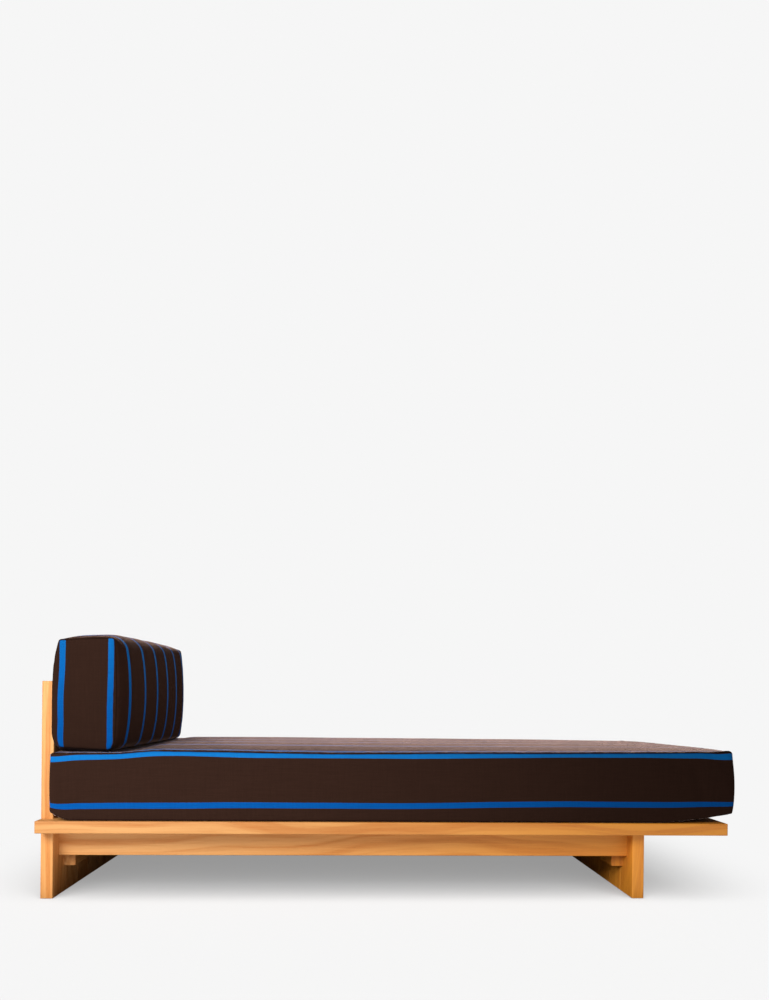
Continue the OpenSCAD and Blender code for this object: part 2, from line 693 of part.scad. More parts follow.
bolster_xs = even_lines(bolster_d / 2, soft_r, 4);
bolster_ys = even_lines(bolster_l / 2, soft_r, 10);
bolster_zs = [for (z = even_lines(bolster_h / 2, soft_r, 6)) z + bolster_h / 2];

module bolster_block(gap) translate([bolster_mid_x, 0, bolster_z])
  rotate([90, 0, 0]) linear_extrude(bolster_l - 2 * wad_t + 2 * gap, center = true)
    let (x = bolster_d / 2 - wad_t + gap, z0 = wad_t - gap, z1 = bolster_h - wad_t + gap)
      polygon([[-x, z0], [x, z0], [x, z1], [-x + bolster_lean, z1]]);

bolster_tape_x = head_in_x + 2 * soft_gap + placket_in;
module bolster_placket() translate([bolster_tape_x - placket_in, 0, bolster_z + bolster_zip_z])
  cube([2 * placket_in, bolster_zip_l + tape_w, placket_h], center = true);

module bolster_cover() color(cloth) difference() {
  translate([bolster_mid_x, 0, bolster_z])
    grid_skin(bolster_xs, bolster_ys, bolster_zs, function(q) bolster_place(q));
  bolster_block(core_gap);
  bolster_placket();
}

module bolster_core() color(foam) bolster_block(0);

// Zips: the tape lies on z = 0 along X, and the chain stands up along its middle
module zip(l) {
  translate([-l / 2, -tape_w / 2, 0]) cube([l, tape_w, tape_t]);
  rotate([90, 0, 90]) linear_extrude(l - tape_w, center = true) chain_section(0);
  for (e = [-1, 1]) translate([e * (l - tape_w + chain_w) / 2, 0, tape_t])
    translate([0, 0, chain_h / 2]) bar_z(chain_w, chain_w * zip_stop, chain_h, chain_w / 4);
}

// Section of the chain, or of the passage that clears it
module chain_section(gap) let (w = chain_w / 2 + gap, b = chain_h / 3,
    low = tape_t - chain_sunk, high = tape_t + chain_h + gap)
  polygon([[-w, low], [w, low], [w, high - b], [w - b, high], [b - w, high], [-w, high - b]]);

// The slider straddles the chain; its bail holds the pull tab along the tape
slider_z = tape_t + slider_gap;
slider_h = chain_h + slider_wall;
slider_w = chain_w + 2 * slider_gap + 2 * slider_wall;
module zip_slider() {
  difference() {
    translate([0, 0, slider_z + slider_h / 2]) bar_z(slider_l, slider_w, slider_h, slider_wall);
    rotate([90, 0, 90]) linear_extrude(slider_l + cut, center = true) chain_section(slider_gap);
  }
  translate([slider_l / 2 - slider_wall, 0, slider_z + slider_h]) difference() {
    translate([tab_l / 2 - slider_wall, 0, tab_t / 2 - snug_gap]) bar_z(tab_l, tab_w, tab_t, tab_w / 3);
    translate([tab_l - tab_w, 0, -cut]) cylinder(h = tab_t + 2 * cut, d = tab_w / 2);
  }
}

// Mattress zip: on the far side, its chain facing out
module at_mattress_zip(x)
  translate([mattress_mid_x + x, mattress_w / 2 - placket_in, mattress_z + mattress_zip_z])
    rotate([-90, 0, 0]) children();

// Bolster zip: low on its back, its chain facing the panel
module at_bolster_zip(y) translate([bolster_tape_x, y, bolster_z + bolster_zip_z])
  rotate([0, 0, -90]) rotate([90, 0, 0]) children();

mattress_slider_x = slider_in - mattress_zip_l / 2;
bolster_slider_y = bolster_zip_l / 2 - slider_in;

module mattress_zip() color(plastic) at_mattress_zip(0) zip(mattress_zip_l);
module mattress_zip_slider() color(brass) at_mattress_zip(mattress_slider_x) zip_slider();
module bolster_zip() color(plastic) at_bolster_zip(0) zip(bolster_zip_l);
module bolster_zip_slider() color(brass) at_bolster_zip(bolster_slider_y) zip_slider();

head_leg();
foot_leg();
back_panel();
near_apron();
far_apron();
head_batten();
foot_batten();
near_rail();
far_rail();
head_end_rail();
leg_cross_rail();
foot_end_rail();
centre_bearer();
slat(1);  // slat_01
slat(2);  // slat_02
slat(3);  // slat_03
slat(4);  // slat_04
slat(5);  // slat_05
slat(6);  // slat_06
slat(7);  // slat_07
slat(8);  // slat_08
slat(9);  // slat_09
slat(10);  // slat_10
slat(11);  // slat_11
slat(12);  // slat_12
slat(13);  // slat_13
slat(14);  // slat_14
slat(15);  // slat_15
slat(16);  // slat_16
slat(17);  // slat_17
slat(18);  // slat_18
tie_rods();
foot_bolts();
apron_bolts();
bolt_washers();
barrel_nuts();
apron_dowels();
tenon_pegs();
batten_screws();
slat_screws();
leg_glides();
mattress_cover();
mattress_core();
mattress_zip();
mattress_zip_slider();
bolster_cover();
bolster_core();
bolster_zip();
bolster_zip_slider();
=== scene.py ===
"""Striped garden daybed: finishes for its timber frame, and its mattress and bolster as sewn cushions.

The timber, the fastenings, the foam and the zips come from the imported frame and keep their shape. The two
cushions are made here: a sewn box is filled under pressure, held where it rests, and its seams are drawn in.
Lengths are in metres. +X runs from head to foot, the camera stands on the -Y side, and +Z is up.
"""

import math

import bmesh
import bpy
import numpy as np
from bpy.props import FloatProperty, FloatVectorProperty, IntProperty, PointerProperty
from mathutils import Matrix, Vector, noise


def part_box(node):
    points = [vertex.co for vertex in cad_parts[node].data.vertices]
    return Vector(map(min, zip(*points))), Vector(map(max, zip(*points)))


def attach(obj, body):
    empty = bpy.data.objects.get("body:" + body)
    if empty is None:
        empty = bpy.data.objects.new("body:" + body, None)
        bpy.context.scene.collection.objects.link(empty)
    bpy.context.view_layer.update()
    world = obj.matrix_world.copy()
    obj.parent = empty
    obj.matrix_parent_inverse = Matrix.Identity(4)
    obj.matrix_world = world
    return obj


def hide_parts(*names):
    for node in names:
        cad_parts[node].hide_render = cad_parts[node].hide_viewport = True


bl_info = {
    "name": "Striped Garden Daybed",
    "version": (1, 0, 0),
    "blender": (4, 5, 0),
    "location": "3D View > Sidebar > Daybed",
    "description": "Finishes a timber daybed frame and makes its striped mattress and bolster",
    "category": "Object",
}

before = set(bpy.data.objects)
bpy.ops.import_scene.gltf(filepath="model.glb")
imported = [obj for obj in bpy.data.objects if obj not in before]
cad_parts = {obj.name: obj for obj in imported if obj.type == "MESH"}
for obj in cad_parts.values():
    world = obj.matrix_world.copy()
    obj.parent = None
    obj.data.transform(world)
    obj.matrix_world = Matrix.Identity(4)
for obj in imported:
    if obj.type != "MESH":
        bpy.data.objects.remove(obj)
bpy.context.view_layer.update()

AXES = X, Y, Z = 0, 1, 2

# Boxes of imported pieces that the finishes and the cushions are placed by
MATTRESS_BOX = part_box("mattress_cover")
BOLSTER_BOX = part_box("bolster_cover")
HEAD_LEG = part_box("head_leg")
FIRST_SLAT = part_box("slat_01")
SECOND_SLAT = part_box("slat_02")
MATTRESS_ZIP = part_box("mattress_zip")
BOLSTER_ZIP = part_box("bolster_zip")
PANEL_STAVES = 8

# Cross boards and pegs get their figure by the stretch of the deck's length that they lie in
BOARD_STRETCH, STRETCHES_FROM, PEG_STRETCH = 0.4, -2.0, 0.02

UPRIGHT_BOARDS = ("head_leg", "foot_leg", "back_panel")
CROSS_BOARDS = ("head_end_rail", "leg_cross_rail", "foot_end_rail")
HIDDEN_CROSS_BOARDS = ("head_batten", "foot_batten")
SLATS = tuple(f"slat_{i:02d}" for i in range(1, 19))


# Sizes and colours that a user would change

class DaybedTimberSettings(bpy.types.PropertyGroup):
    light: FloatVectorProperty(
        name="Pale wood", description="Colour of the teak between its growth rings",
        subtype="COLOR", size=3, min=0, max=1, default=(0.68, 0.250, 0.018))
    # Painted light: the wood's colour at the head, paler where the key light falls most strongly
    lightened: FloatVectorProperty(
        name="Bleached wood", description="Colour of the pale wood at the head, which the sun has bleached",
        subtype="COLOR", size=3, min=0, max=1, default=(0.72, 0.345, 0.105))
    deep: FloatVectorProperty(
        name="Ring wood", description="Colour of the teak's dark growth rings",
        subtype="COLOR", size=3, min=0, max=1, default=(0.50, 0.145, 0.009))
    ring_width: FloatProperty(
        name="Ring width", description="Mean width of one growth ring",
        unit="LENGTH", min=0.001, max=0.02, default=0.0065)
    roughness: FloatProperty(
        name="Roughness", description="Roughness of the oiled and sanded teak",
        subtype="FACTOR", min=0, max=1, default=0.52)


class DaybedClothSettings(bpy.types.PropertyGroup):
    ground: FloatVectorProperty(
        name="Ground", description="Dark brown yarn of the cloth's ground",
        subtype="COLOR", size=3, min=0, max=1, default=(0.0255, 0.0118, 0.0080))
    stripe: FloatVectorProperty(
        name="Stripe", description="Blue yarn of the stripes",
        subtype="COLOR", size=3, min=0, max=1, default=(0.0020, 0.068, 0.275))
    # Painted light: the stripes' colour near the cushions' tops, lighter where the light from above falls
    lit_stripe: FloatVectorProperty(
        name="Faded stripe", description="Blue yarn where the sun has bleached it a little",
        subtype="COLOR", size=3, min=0, max=1, default=(0.0055, 0.124, 0.375))
    pitch: FloatProperty(
        name="Stripe spacing", description="Distance from one stripe's middle to the next",
        unit="LENGTH", min=0.04, max=0.4, default=0.1435)
    stripe_width: FloatProperty(
        name="Stripe width", description="Width of one stripe",
        unit="LENGTH", min=0.004, max=0.06, default=0.0167)
    yarn: FloatProperty(
        name="Yarn spacing", description="Distance between two yarns of the weave",
        unit="LENGTH", min=0.0004, max=0.004, default=0.0011)


class DaybedCushionSettings(bpy.types.PropertyGroup):
    mattress_cell: FloatProperty(
        name="Mattress mesh", description="Size of one face of the mattress while it is filled",
        unit="LENGTH", min=0.008, max=0.05, default=0.0138)
    bolster_cell: FloatProperty(
        name="Bolster mesh", description="Size of one face of the bolster while it is filled",
        unit="LENGTH", min=0.005, max=0.03, default=0.0085)
    pressure: FloatProperty(
        name="Filling pressure", description="How hard the filling presses the cover outwards",
        min=0, max=20, default=3.0)
    gather: FloatProperty(
        name="Seam gather", description="Share by which the sewn seams draw the cloth together",
        subtype="FACTOR", min=0, max=0.2, default=0.045)
    mattress_give: FloatProperty(
        name="Mattress give", description="Furthest that filling may move the mattress cover",
        unit="LENGTH", min=0, max=0.03, default=0.006)
    bolster_give: FloatProperty(
        name="Bolster give", description="Furthest that filling may move the bolster cover",
        unit="LENGTH", min=0, max=0.03, default=0.006)
    seam_depth: FloatProperty(
        name="Seam depth", description="Depth of the valley along a sewn seam",
        unit="LENGTH", min=0, max=0.01, default=0.0030)
    frames: IntProperty(
        name="Filling steps", description="Number of steps over which the covers fill",
        min=1, max=60, default=20)


class DaybedStageSettings(bpy.types.PropertyGroup):
    backdrop: FloatProperty(
        name="Backdrop", description="Brightness of the floor and of what lies behind the daybed",
        min=0, max=2, default=0.922)
    floor_shadow: FloatProperty(
        name="Floor in shade", description="Share of the floor's brightness that is left in full shade",
        subtype="FACTOR", min=0, max=1, default=0.325)
    room_light: FloatProperty(
        name="Room light", description="Strength of the even light from the front and from above",
        min=0, max=4, default=0.21)
    key_light: FloatProperty(
        name="Key light", description="Strength of the large soft light at the head, on the near side",
        unit="POWER", min=0, max=2000, default=150)
    back_light: FloatProperty(
        name="Back light", description="Strength of the low light from behind that grazes the cushions",
        unit="POWER", min=0, max=2000, default=110)
    camera_place: FloatVectorProperty(
        name="Camera", description="Where the camera stands",
        subtype="TRANSLATION", size=3, default=(-0.122, -2.6404, 0.5897))
    lens: FloatProperty(
        name="Lens", description="Focal length of the camera in millimetres",
        min=10, max=200, default=27.03)


def settings(group):
    return getattr(bpy.context.scene, "daybed_" + group)


# Finishes: Python expressions that become shader nodes

def both_ways(operation):
    """The two methods of one operator: for the value on its left, and for the value on its right."""
    def on_left(self, other):
        return self.maths(operation, other)

    def on_right(self, other):
        return self.finish.add("ShaderNodeMath", {"operation": operation}, {0: other, 1: self})

    return on_left, on_right


class Tone:
    """A value in a finish that plain arithmetic can be written on."""

    __add__, __radd__ = both_ways("ADD")
    __sub__, __rsub__ = both_ways("SUBTRACT")
    __mul__, __rmul__ = both_ways("MULTIPLY")
    __truediv__, __rtruediv__ = both_ways("DIVIDE")

    def __init__(self, finish, socket):
        self.finish = finish
        self.socket = socket

    def maths(self, operation, *others):
        return self.finish.add("ShaderNodeMath", {"operation": operation},
                               dict(enumerate((self, *others))))

    def __neg__(self):
        return self.maths("MULTIPLY", -1.0)

    def __abs__(self):
        return self.maths("ABSOLUTE")

    def rise(self, low, high):
        """0 below low, 1 above high, and smooth between them."""
        return self.finish.add("ShaderNodeMapRange", {"interpolation_type": "SMOOTHSTEP"},
                               {0: self, 1: low, 2: high, 3: 0.0, 4: 1.0})


class Finish:
    """A material, or another owner of shader nodes, whose nodes are made from Python expressions."""

    def __init__(self, name, owner=None):
        self.material = owner or bpy.data.materials.new(name)
        self.material.use_nodes = True
        self.tree = self.material.node_tree
        self.tree.nodes.clear()

    def add(self, kind, choices=None, feeds=None, out=0):
        """One node: its type, its settings, then the values or links of its sockets."""
        node = self.tree.nodes.new(kind)
        for key, value in (choices or {}).items():
            setattr(node, key, value)
        for key, value in (feeds or {}).items():
            socket = node.inputs[key]
            if isinstance(value, Tone):
                self.tree.links.new(value.socket, socket)
            elif socket.type == "RGBA" and isinstance(value, (int, float)):
                socket.default_value = (value, value, value, 1.0)
            elif socket.type == "RGBA" and len(value) == 3:
                socket.default_value = (*value, 1.0)
            else:
                socket.default_value = value
        return Tone(self, node.outputs[out]) if node.outputs else None

    def parts(self, vector):
        """The three numbers of a vector."""
        first = self.add("ShaderNodeSeparateXYZ", None, {0: vector})
        node = first.socket.node
        return [Tone(self, node.outputs[i]) for i in range(3)]

    def point(self, x, y, z):
        return self.add("ShaderNodeCombineXYZ", None, {0: x, 1: y, 2: z})

    def place(self):
        """Where a point of the piece lies, in metres."""
        return self.parts(self.add("ShaderNodeTexCoord", out="Object"))

    def clouds(self, point, scale, detail=2.0, rough=0.5):
        """Soft noise from 0 to 1."""
        return self.add("ShaderNodeTexNoise", {"noise_dimensions": "3D"},
                        {"Vector": point, "Scale": scale, "Detail": detail, "Roughness": rough})

    def chance(self, number):
        """A number from 0 to 1 that differs from one number to the next. Its output 0 is the plain value."""
        return self.add("ShaderNodeTexWhiteNoise", {"noise_dimensions": "1D"}, {"W": number})

    def blend(self, share, low, high):
        """Colour low where share is 0, high where it is 1. The node's colours are its inputs 6 and 7."""
        return self.add("ShaderNodeMix", {"data_type": "RGBA", "clamp_factor": True},
                        {0: share, 6: low, 7: high}, out=2)

    def shade(self, colour, amount):
        """A colour made darker or lighter by a number."""
        return self.add("ShaderNodeVectorMath", {"operation": "SCALE"}, {0: colour, "Scale": amount})

    def relief(self, height, depth, strength, under=None):
        """A bumpy surface as deep as depth, laid over another one where under is given."""
        feeds = {"Strength": strength, "Distance": depth, "Height": height}
        if under is not None:
            feeds["Normal"] = under
        return self.add("ShaderNodeBump", None, feeds)

    def surface(self, **feeds):
        """Closes the finish with one surface shader. Names use _ for spaces."""
        shader = self.add("ShaderNodeBsdfPrincipled", None,
                          {key.replace("_", " "): value for key, value in feeds.items()})
        self.add("ShaderNodeOutputMaterial", None, {"Surface": shader})
        return self.material


def teak(name, grain, piece_width=None, piece_start=None, piece_axis=None, dark=1.0, seed=0.0):
    """Oiled teak with its grain along one axis. Each glued stave and each slat gets a figure of its own."""
    wood = settings("timber")
    f = Finish(name)
    xyz = f.place()
    along = xyz[grain]
    cross = [xyz[axis] for axis in AXES if axis != grain]
    number = seed
    if piece_width:
        number = ((xyz[piece_axis] - piece_start) / piece_width).maths("FLOOR") + seed
    shift_a = f.chance(number)
    shift_b = f.chance(number + 57.3)
    tone = f.chance(number + 113.9)
    # Distance from the heart of the tree, which wanders along the board
    wander = f.clouds(f.point(along * 1.1 + shift_a * 37.0, cross[0] * 2.2 + shift_b * 11.0,
                              cross[1] * 2.2 + seed), 1.0, detail=1.5)
    sway = f.clouds(f.point(along * 5.0 + shift_b * 23.0, cross[0] * 9.0, cross[1] * 9.0), 1.0, detail=2.0)
    side = cross[0] + (shift_a - 0.5) * 0.20 + (wander - 0.5) * 0.16
    depth = cross[1] + 0.035 + shift_b * 0.06 + (sway - 0.5) * 0.016
    reach = (side * side + depth * depth).maths("SQRT")
    rings = f.clouds(f.point(reach / wood.ring_width, along * 0.5 + shift_a * 9.0, shift_b * 31.0),
                     0.62, detail=3.0, rough=0.55)
    growth = rings.rise(0.36, 0.66)
    # Pores and fibres: fine streaks along the grain
    fibre = f.clouds(f.point(along * 9.0, cross[0] * 420.0, cross[1] * 420.0), 1.0, detail=2.0, rough=0.6)
    streak = f.clouds(f.point(along * 2.6, cross[0] * 95.0, cross[1] * 95.0), 1.0, detail=2.0, rough=0.55)
    vessel = f.clouds(f.point(along * 60.0, cross[0] * 900.0, cross[1] * 900.0), 1.0, detail=1.0)
    pore = vessel.rise(0.62, 0.74) * (0.35 + 0.65 * growth)
    # Painted light: the wood turns paler towards the head, where the key light falls most strongly
    pale = f.blend((-xyz[X]).rise(-0.95, 0.95), wood.light, wood.lightened)
    colour = f.blend(growth * 0.62 + (fibre - 0.5) * 0.7 + (streak - 0.5) * 0.85, pale, wood.deep)
    warm = f.clouds(f.point(along * 1.7, cross[0] * 6.0, cross[1] * 6.0), 1.0, detail=1.0)
    # dark scales the finish's whole colour, for copies of the teak that are painted lighter or darker
    level = dark * (0.90 + 0.17 * tone + (warm - 0.5) * 0.22 - pore * 0.22)
    colour = f.shade(colour, level)
    rough = wood.roughness + growth * 0.07 + (fibre - 0.5) * 0.16 + pore * 0.1
    height = growth * 0.5 + fibre * 0.35 - pore * 0.8
    return f.surface(Base_Color=colour, Roughness=rough, IOR=1.48, Specular_IOR_Level=0.55,
                     Normal=f.relief(height, 0.0004, 0.35))


def striped_cloth(name, lit_from, lit_to, bloom, dark=1.0):
    """Awning cloth: brown ground, blue stripes that painted light makes lighter upwards, a plain weave,
    painted shade at the seams, and painted light at the head.
    """
    cloth = settings("cloth")
    f = Finish(name)
    x, _, z = f.place()
    u, v, _ = f.parts(f.add("ShaderNodeUVMap", {"uv_map": "cloth"}))
    seam = f.add("ShaderNodeAttribute", {"attribute_name": "seam"}, out="Fac")
    drift = f.clouds(f.point(u * 2.1, v * 1.2, 0.0), 1.0, detail=2.0)
    across = v + (drift - 0.5) * 0.004
    off = abs(((across / cloth.pitch + 0.5).maths("FRACT") - 0.5) * cloth.pitch)
    half = cloth.stripe_width / 2
    stripe = 1.0 - off.rise(half - 0.0005, half + 0.0005)
    # Weave: one yarn over, one under
    turn = math.tau / cloth.yarn
    warp_yarn = (v * turn).maths("SINE")
    weft_yarn = (u * turn).maths("SINE")
    knot = warp_yarn * weft_yarn
    slub = f.clouds(f.point(u * 14.0, v / cloth.yarn, 0.3), 1.0, detail=1.0)
    slub_weft = f.clouds(f.point(u / cloth.yarn, v * 14.0, 5.3), 1.0, detail=1.0)
    patch = f.clouds(f.point(u * 3.0, v * 3.0, 2.7), 1.0, detail=3.0)
    # Painted light: the stripes turn lighter towards the top, where the light from above falls
    lit_upper = z.rise(lit_from, lit_to)
    colour = f.blend(stripe, cloth.ground, f.blend(lit_upper, cloth.stripe, cloth.lit_stripe))
    shadow = 1.0 - (1.0 - seam.rise(0.0004, 0.0030)) * 0.45
    # The weave's crossings are painted a little lighter, a painted highlight on the raised yarns; slubs and
    # patches are the yarn's own tone
    yarns = 0.90 + (slub - 0.5) * 0.34 + (slub_weft - 0.5) * 0.26 + (patch - 0.5) * 0.16 + knot * 0.08
    # Painted light and shade: the cloth is lighter at the head and darker towards the foot, where less of
    # the key light falls; shadow is painted shade along the seams
    colour = f.shade(colour, dark * (1.28 - 0.68 * x.rise(-0.4, 1.0)) * shadow * yarns)
    crease = f.clouds(f.point(u * 26.0, v * 26.0, 1.1), 1.0, detail=3.0)
    weave = f.relief(knot * 0.6 + slub * 0.3, 0.0005, 0.35)
    folds = f.relief(crease, 0.0016, 0.30, under=weave)
    return f.surface(Base_Color=colour, Roughness=0.66 + (slub - 0.5) * 0.10, IOR=1.46,
                     Specular_IOR_Level=0.0, Sheen_Weight=bloom, Sheen_Roughness=0.18,
                     Sheen_Tint=(1.0, 0.70, 0.62, 1.0), Normal=folds)


def open_foam(name):
    """Cream reticulated foam with open cells."""
    f = Finish(name)
    x, y, z = f.place()
    spot = f.point(x, y, z)
    cells = f.add("ShaderNodeTexVoronoi", {"feature": "F1"}, {"Vector": spot, "Scale": 420.0})
    fade = f.clouds(spot, 5.0, detail=3.0)
    # Painted shade: the open cells' hollows are darker than the strands between them
    colour = f.blend(cells.rise(0.05, 0.55), (0.46, 0.40, 0.24), (0.84, 0.77, 0.52))
    colour = f.shade(colour, 0.92 + (fade - 0.5) * 0.2)
    return f.surface(Base_Color=colour, Roughness=0.86 + fade * 0.1, Normal=f.relief(cells, 0.0012, 0.6))


def turned_metal(name, colour, rough, spread, scale=(700.0, 700.0, 60.0)):
    """Bare metal with fine tool lines and a little staining."""
    f = Finish(name)
    x, y, z = f.place()
    lines = f.clouds(f.point(x * scale[0], y * scale[1], z * scale[2]), 1.0, detail=2.0)
    stain = f.clouds(f.point(x, y, z), 70.0, detail=3.0)
    shade = f.shade(f.blend(stain.rise(0.35, 0.8) * 0.5, colour, tuple(c * 0.62 for c in colour)),
                    0.94 + (lines - 0.5) * 0.16)
    return f.surface(Base_Color=shade, Metallic=1.0, Roughness=rough + (lines - 0.5) * spread + stain * 0.08,
                     Normal=f.relief(lines, 0.0001, 0.3))


def moulded_plastic(name, colour):
    """Moulded nylon with a fine spark-eroded skin."""
    f = Finish(name)
    x, y, z = f.place()
    spot = f.point(x, y, z)
    skin = f.clouds(spot, 1500.0, detail=1.0)
    dust = f.clouds(spot, 30.0, detail=3.0)
    shade = f.blend(dust.rise(0.45, 0.8) * 0.5, colour, tuple(min(1.0, c * 2.6 + 0.02) for c in colour))
    return f.surface(Base_Color=shade, Roughness=0.42 + dust * 0.25, Normal=f.relief(skin, 0.0001, 0.4))


def zip_tape(name, length_axis, middle):
    """Woven zip tape with a moulded coil along its middle."""
    tape_pitch, coil_pitch, stitch_pitch = 0.0016, 0.0022, 0.0030
    chain_edge, stitch_line = 0.0026, 0.0052
    f = Finish(name)
    xyz = f.place()
    along, off = xyz[length_axis], abs(xyz[Z] - middle)
    herring = ((along + off) * (math.tau / tape_pitch)).maths("SINE")
    coil = (along * (math.tau / coil_pitch)).maths("SINE")
    on_chain = 1.0 - off.rise(chain_edge, chain_edge + 0.0006)
    thread = (along * (math.tau / stitch_pitch)).maths("SINE").rise(-0.4, 0.1)
    stitch = (1.0 - abs(off - stitch_line).rise(0.0003, 0.0006)) * thread
    # Painted light and shade: the tape's twill and the coil's loops are lighter where they stand high and
    # darker in their hollows
    tape = f.blend(0.5 + herring * 0.5, (0.016, 0.010, 0.009), (0.040, 0.025, 0.020))
    tape = f.blend(stitch, tape, (0.10, 0.07, 0.055))
    colour = f.blend(on_chain, tape, f.blend(0.5 + coil * 0.5, (0.006, 0.005, 0.005), (0.055, 0.042, 0.036)))
    rough = 0.85 - on_chain * 0.45
    height = on_chain * coil + (1.0 - on_chain) * herring * 0.4
    return f.surface(Base_Color=colour, Roughness=rough, Normal=f.relief(height, 0.0004, 0.6))


def dress(names, material):
    """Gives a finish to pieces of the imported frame."""
    for name in names:
        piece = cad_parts[name]
        if not piece.material_slots:
            raise RuntimeError(f"{name} has no material slot")
        for slot in piece.material_slots:
            slot.material = material


# Cushions

# The underside's stripes lie about half a spacing off, so that none runs along its edge
UNDERSIDE_SHIFT = 0.0735
# Flat cloth beside a zip's ends and its sides, the slope beyond it, and the gap behind the tape
ZIP_END_ROOM, ZIP_SIDE_ROOM, ZIP_SLOPE, ZIP_GAP = 0.004, 0.018, 0.006, 0.0004
# Gap that a cushion keeps from the board it leans on, and the cloth's fine unevenness
LEAN_GAP, CRUMPLE = 0.0002, 0.0002
# A point this near a seam lies on it. Then how far the seam's valley, its puckers, its gathers and its hold
# on the cloth reach, and how high the puckers are
ON_SEAM = 1e-6
VALLEY_REACH, PUCKER_REACH, GATHER_REACH, HOLD_REACH = 0.0042, 0.022, 0.016, 0.024
PUCKER_HEIGHT = 0.0021


def eased(share):
    """0 below a share of 0, 1 above a share of 1, and smooth between them."""
    k = np.clip(share, 0.0, 1.0)
    return k * k * (3.0 - 2.0 * k)


def ramp(past, run):
    """Climbs from 0 to 1 over the last run before an end; past is how far a point lies beyond that end."""
    return np.clip((past + run) / run, 0, 1)


def near_top(t):
    """1 on the top of a cushion and 0 below the upper tenth of its height t."""
    return eased((t - 0.9) * 12)


def sewn_box(name, size, cell, across_of, slant):
    """A closed box of square cloth cells with its base on z = 0, and its cloth laid out flat in metres.

    across_of gives, for the panels that face each axis, the axis across the stripes, the one along them and
    how far the pattern is shifted. slant moves it further at each point of the panels that face Y.
    """
    mesh = bmesh.new()
    bmesh.ops.create_cube(mesh, size=1.0)
    for axis in AXES:
        cuts = max(2, round(size[axis] / cell)) - 1
        lines = [e for e in mesh.edges
                 if abs((e.verts[0].co - e.verts[1].co).normalized()[axis]) > 0.9]
        bmesh.ops.subdivide_edges(mesh, edges=lines, cuts=cuts, use_grid_fill=True)
    bmesh.ops.scale(mesh, vec=size, verts=mesh.verts)
    bmesh.ops.translate(mesh, vec=(0, 0, size[2] / 2), verts=mesh.verts)
    bmesh.ops.recalc_face_normals(mesh, faces=mesh.faces)
    flat = mesh.loops.layers.uv.new("cloth")
    for face in mesh.faces:
        facing = max(AXES, key=lambda axis: abs(face.normal[axis]))
        across, along, shift = across_of[facing]
        if face.normal.z < -0.5:
            shift += UNDERSIDE_SHIFT
        for loop in face.loops:
            climb = slant(*loop.vert.co) if facing == Y else 0.0
            loop[flat].uv = (loop.vert.co[along], loop.vert.co[across] + shift - climb)
        face.smooth = True
    data = bpy.data.meshes.new(name)
    mesh.to_mesh(data)
    mesh.free()
    piece = bpy.data.objects.new(name, data)
    bpy.context.scene.collection.objects.link(piece)
    return piece


def points_of(data, what="co"):
    """The places of a mesh's points, or their normals."""
    values = np.empty(len(data.vertices) * 3, np.float32)
    data.vertices.foreach_get(what, values)
    return values.reshape(-1, 3).astype(float)


def set_points(data, co):
    data.vertices.foreach_set("co", co.astype(np.float32).ravel())
    data.update()


def note(data, name, values):
    """Keeps one number for each point of the cloth, which subdivision carries on."""
    layer = data.attributes.get(name) or data.attributes.new(name, "FLOAT", "POINT")
    layer.data.foreach_set("value", np.asarray(values, np.float32))


def noted(data, name):
    values = np.empty(len(data.vertices), np.float32)
    data.attributes[name].data.foreach_get("value", values)
    return values.astype(float)


def ripple(co, scale, seed, stretch=(1.0, 1.0, 1.0)):
    """Smooth seeded noise from -1 to 1 at each point, finer along the axes that stretch is large for."""
    shift = Vector((seed * 3.1, seed * 7.7, seed * 1.3))
    return np.array([noise.noise(Vector(p) * scale + shift) for p in co * np.array(stretch)])


def crumpled(co, seed):
    """The same points with the cloth's fine unevenness in them."""
    return co + CRUMPLE * np.stack([ripple(co, 60.0, seed + axis) for axis in AXES], axis=1)


def mark_seams(piece, size, height, cap):
    """Notes each point's distance from the nearest seam. The panels that face cap are sewn in all round."""
    flat = points_of(piece.data)
    edges = [size.x / 2 - np.abs(flat[:, X]), size.y / 2 - np.abs(flat[:, Y]),
             np.minimum(flat[:, Z], height - flat[:, Z])]
    others = [edges[axis] for axis in AXES if axis != cap]
    note(piece.data, "seam", np.where(edges[cap] < ON_SEAM, np.minimum(*others), edges[cap]))
    return flat


def shares_of(co, size, height):
    """Where each point lies: u and v run from -1 to 1 along X and Y, and t from 0 to 1 upwards."""
    return 2 * co[:, X] / size.x, 2 * co[:, Y] / size.y, co[:, Z] / height


def soften_edge(co, size, height, axes, radius):
    """Rounds the four edges where two axes meet, as a bend of the whole space about them."""
    half = (size.x / 2, size.y / 2, height / 2)
    middle = (0.0, 0.0, height / 2)
    a, b = axes
    da = np.abs(co[:, a] - middle[a]) - (half[a] - radius)
    db = np.abs(co[:, b] - middle[b]) - (half[b] - radius)
    corner = (da > 0) & (db > 0)
    shrink = np.ones(len(co))
    shrink[corner] = np.maximum(da, db)[corner] / np.hypot(da, db)[corner]
    for axis, d in ((a, da), (b, db)):
        side = np.sign(co[:, axis] - middle[axis])
        moved = middle[axis] + side * (half[axis] - radius + d * shrink)
        co[:, axis] = np.where(corner, moved, co[:, axis])
    return co


def swelling(co, moved):
    """The part of a movement that only swells or shrinks the cushion as a whole, fitted up to squares."""
    low, high = co.min(axis=0), co.max(axis=0)
    spot = 2.0 * (co - low) / (high - low) - 1.0
    powers = [np.ones_like(spot), spot, spot ** 2]
    terms = np.stack([powers[a][:, 0] * powers[b][:, 1] * powers[c][:, 2]
                      for a in range(3) for b in range(3) for c in range(3)], axis=1)
    return terms @ np.linalg.lstsq(terms, moved, rcond=None)[0]


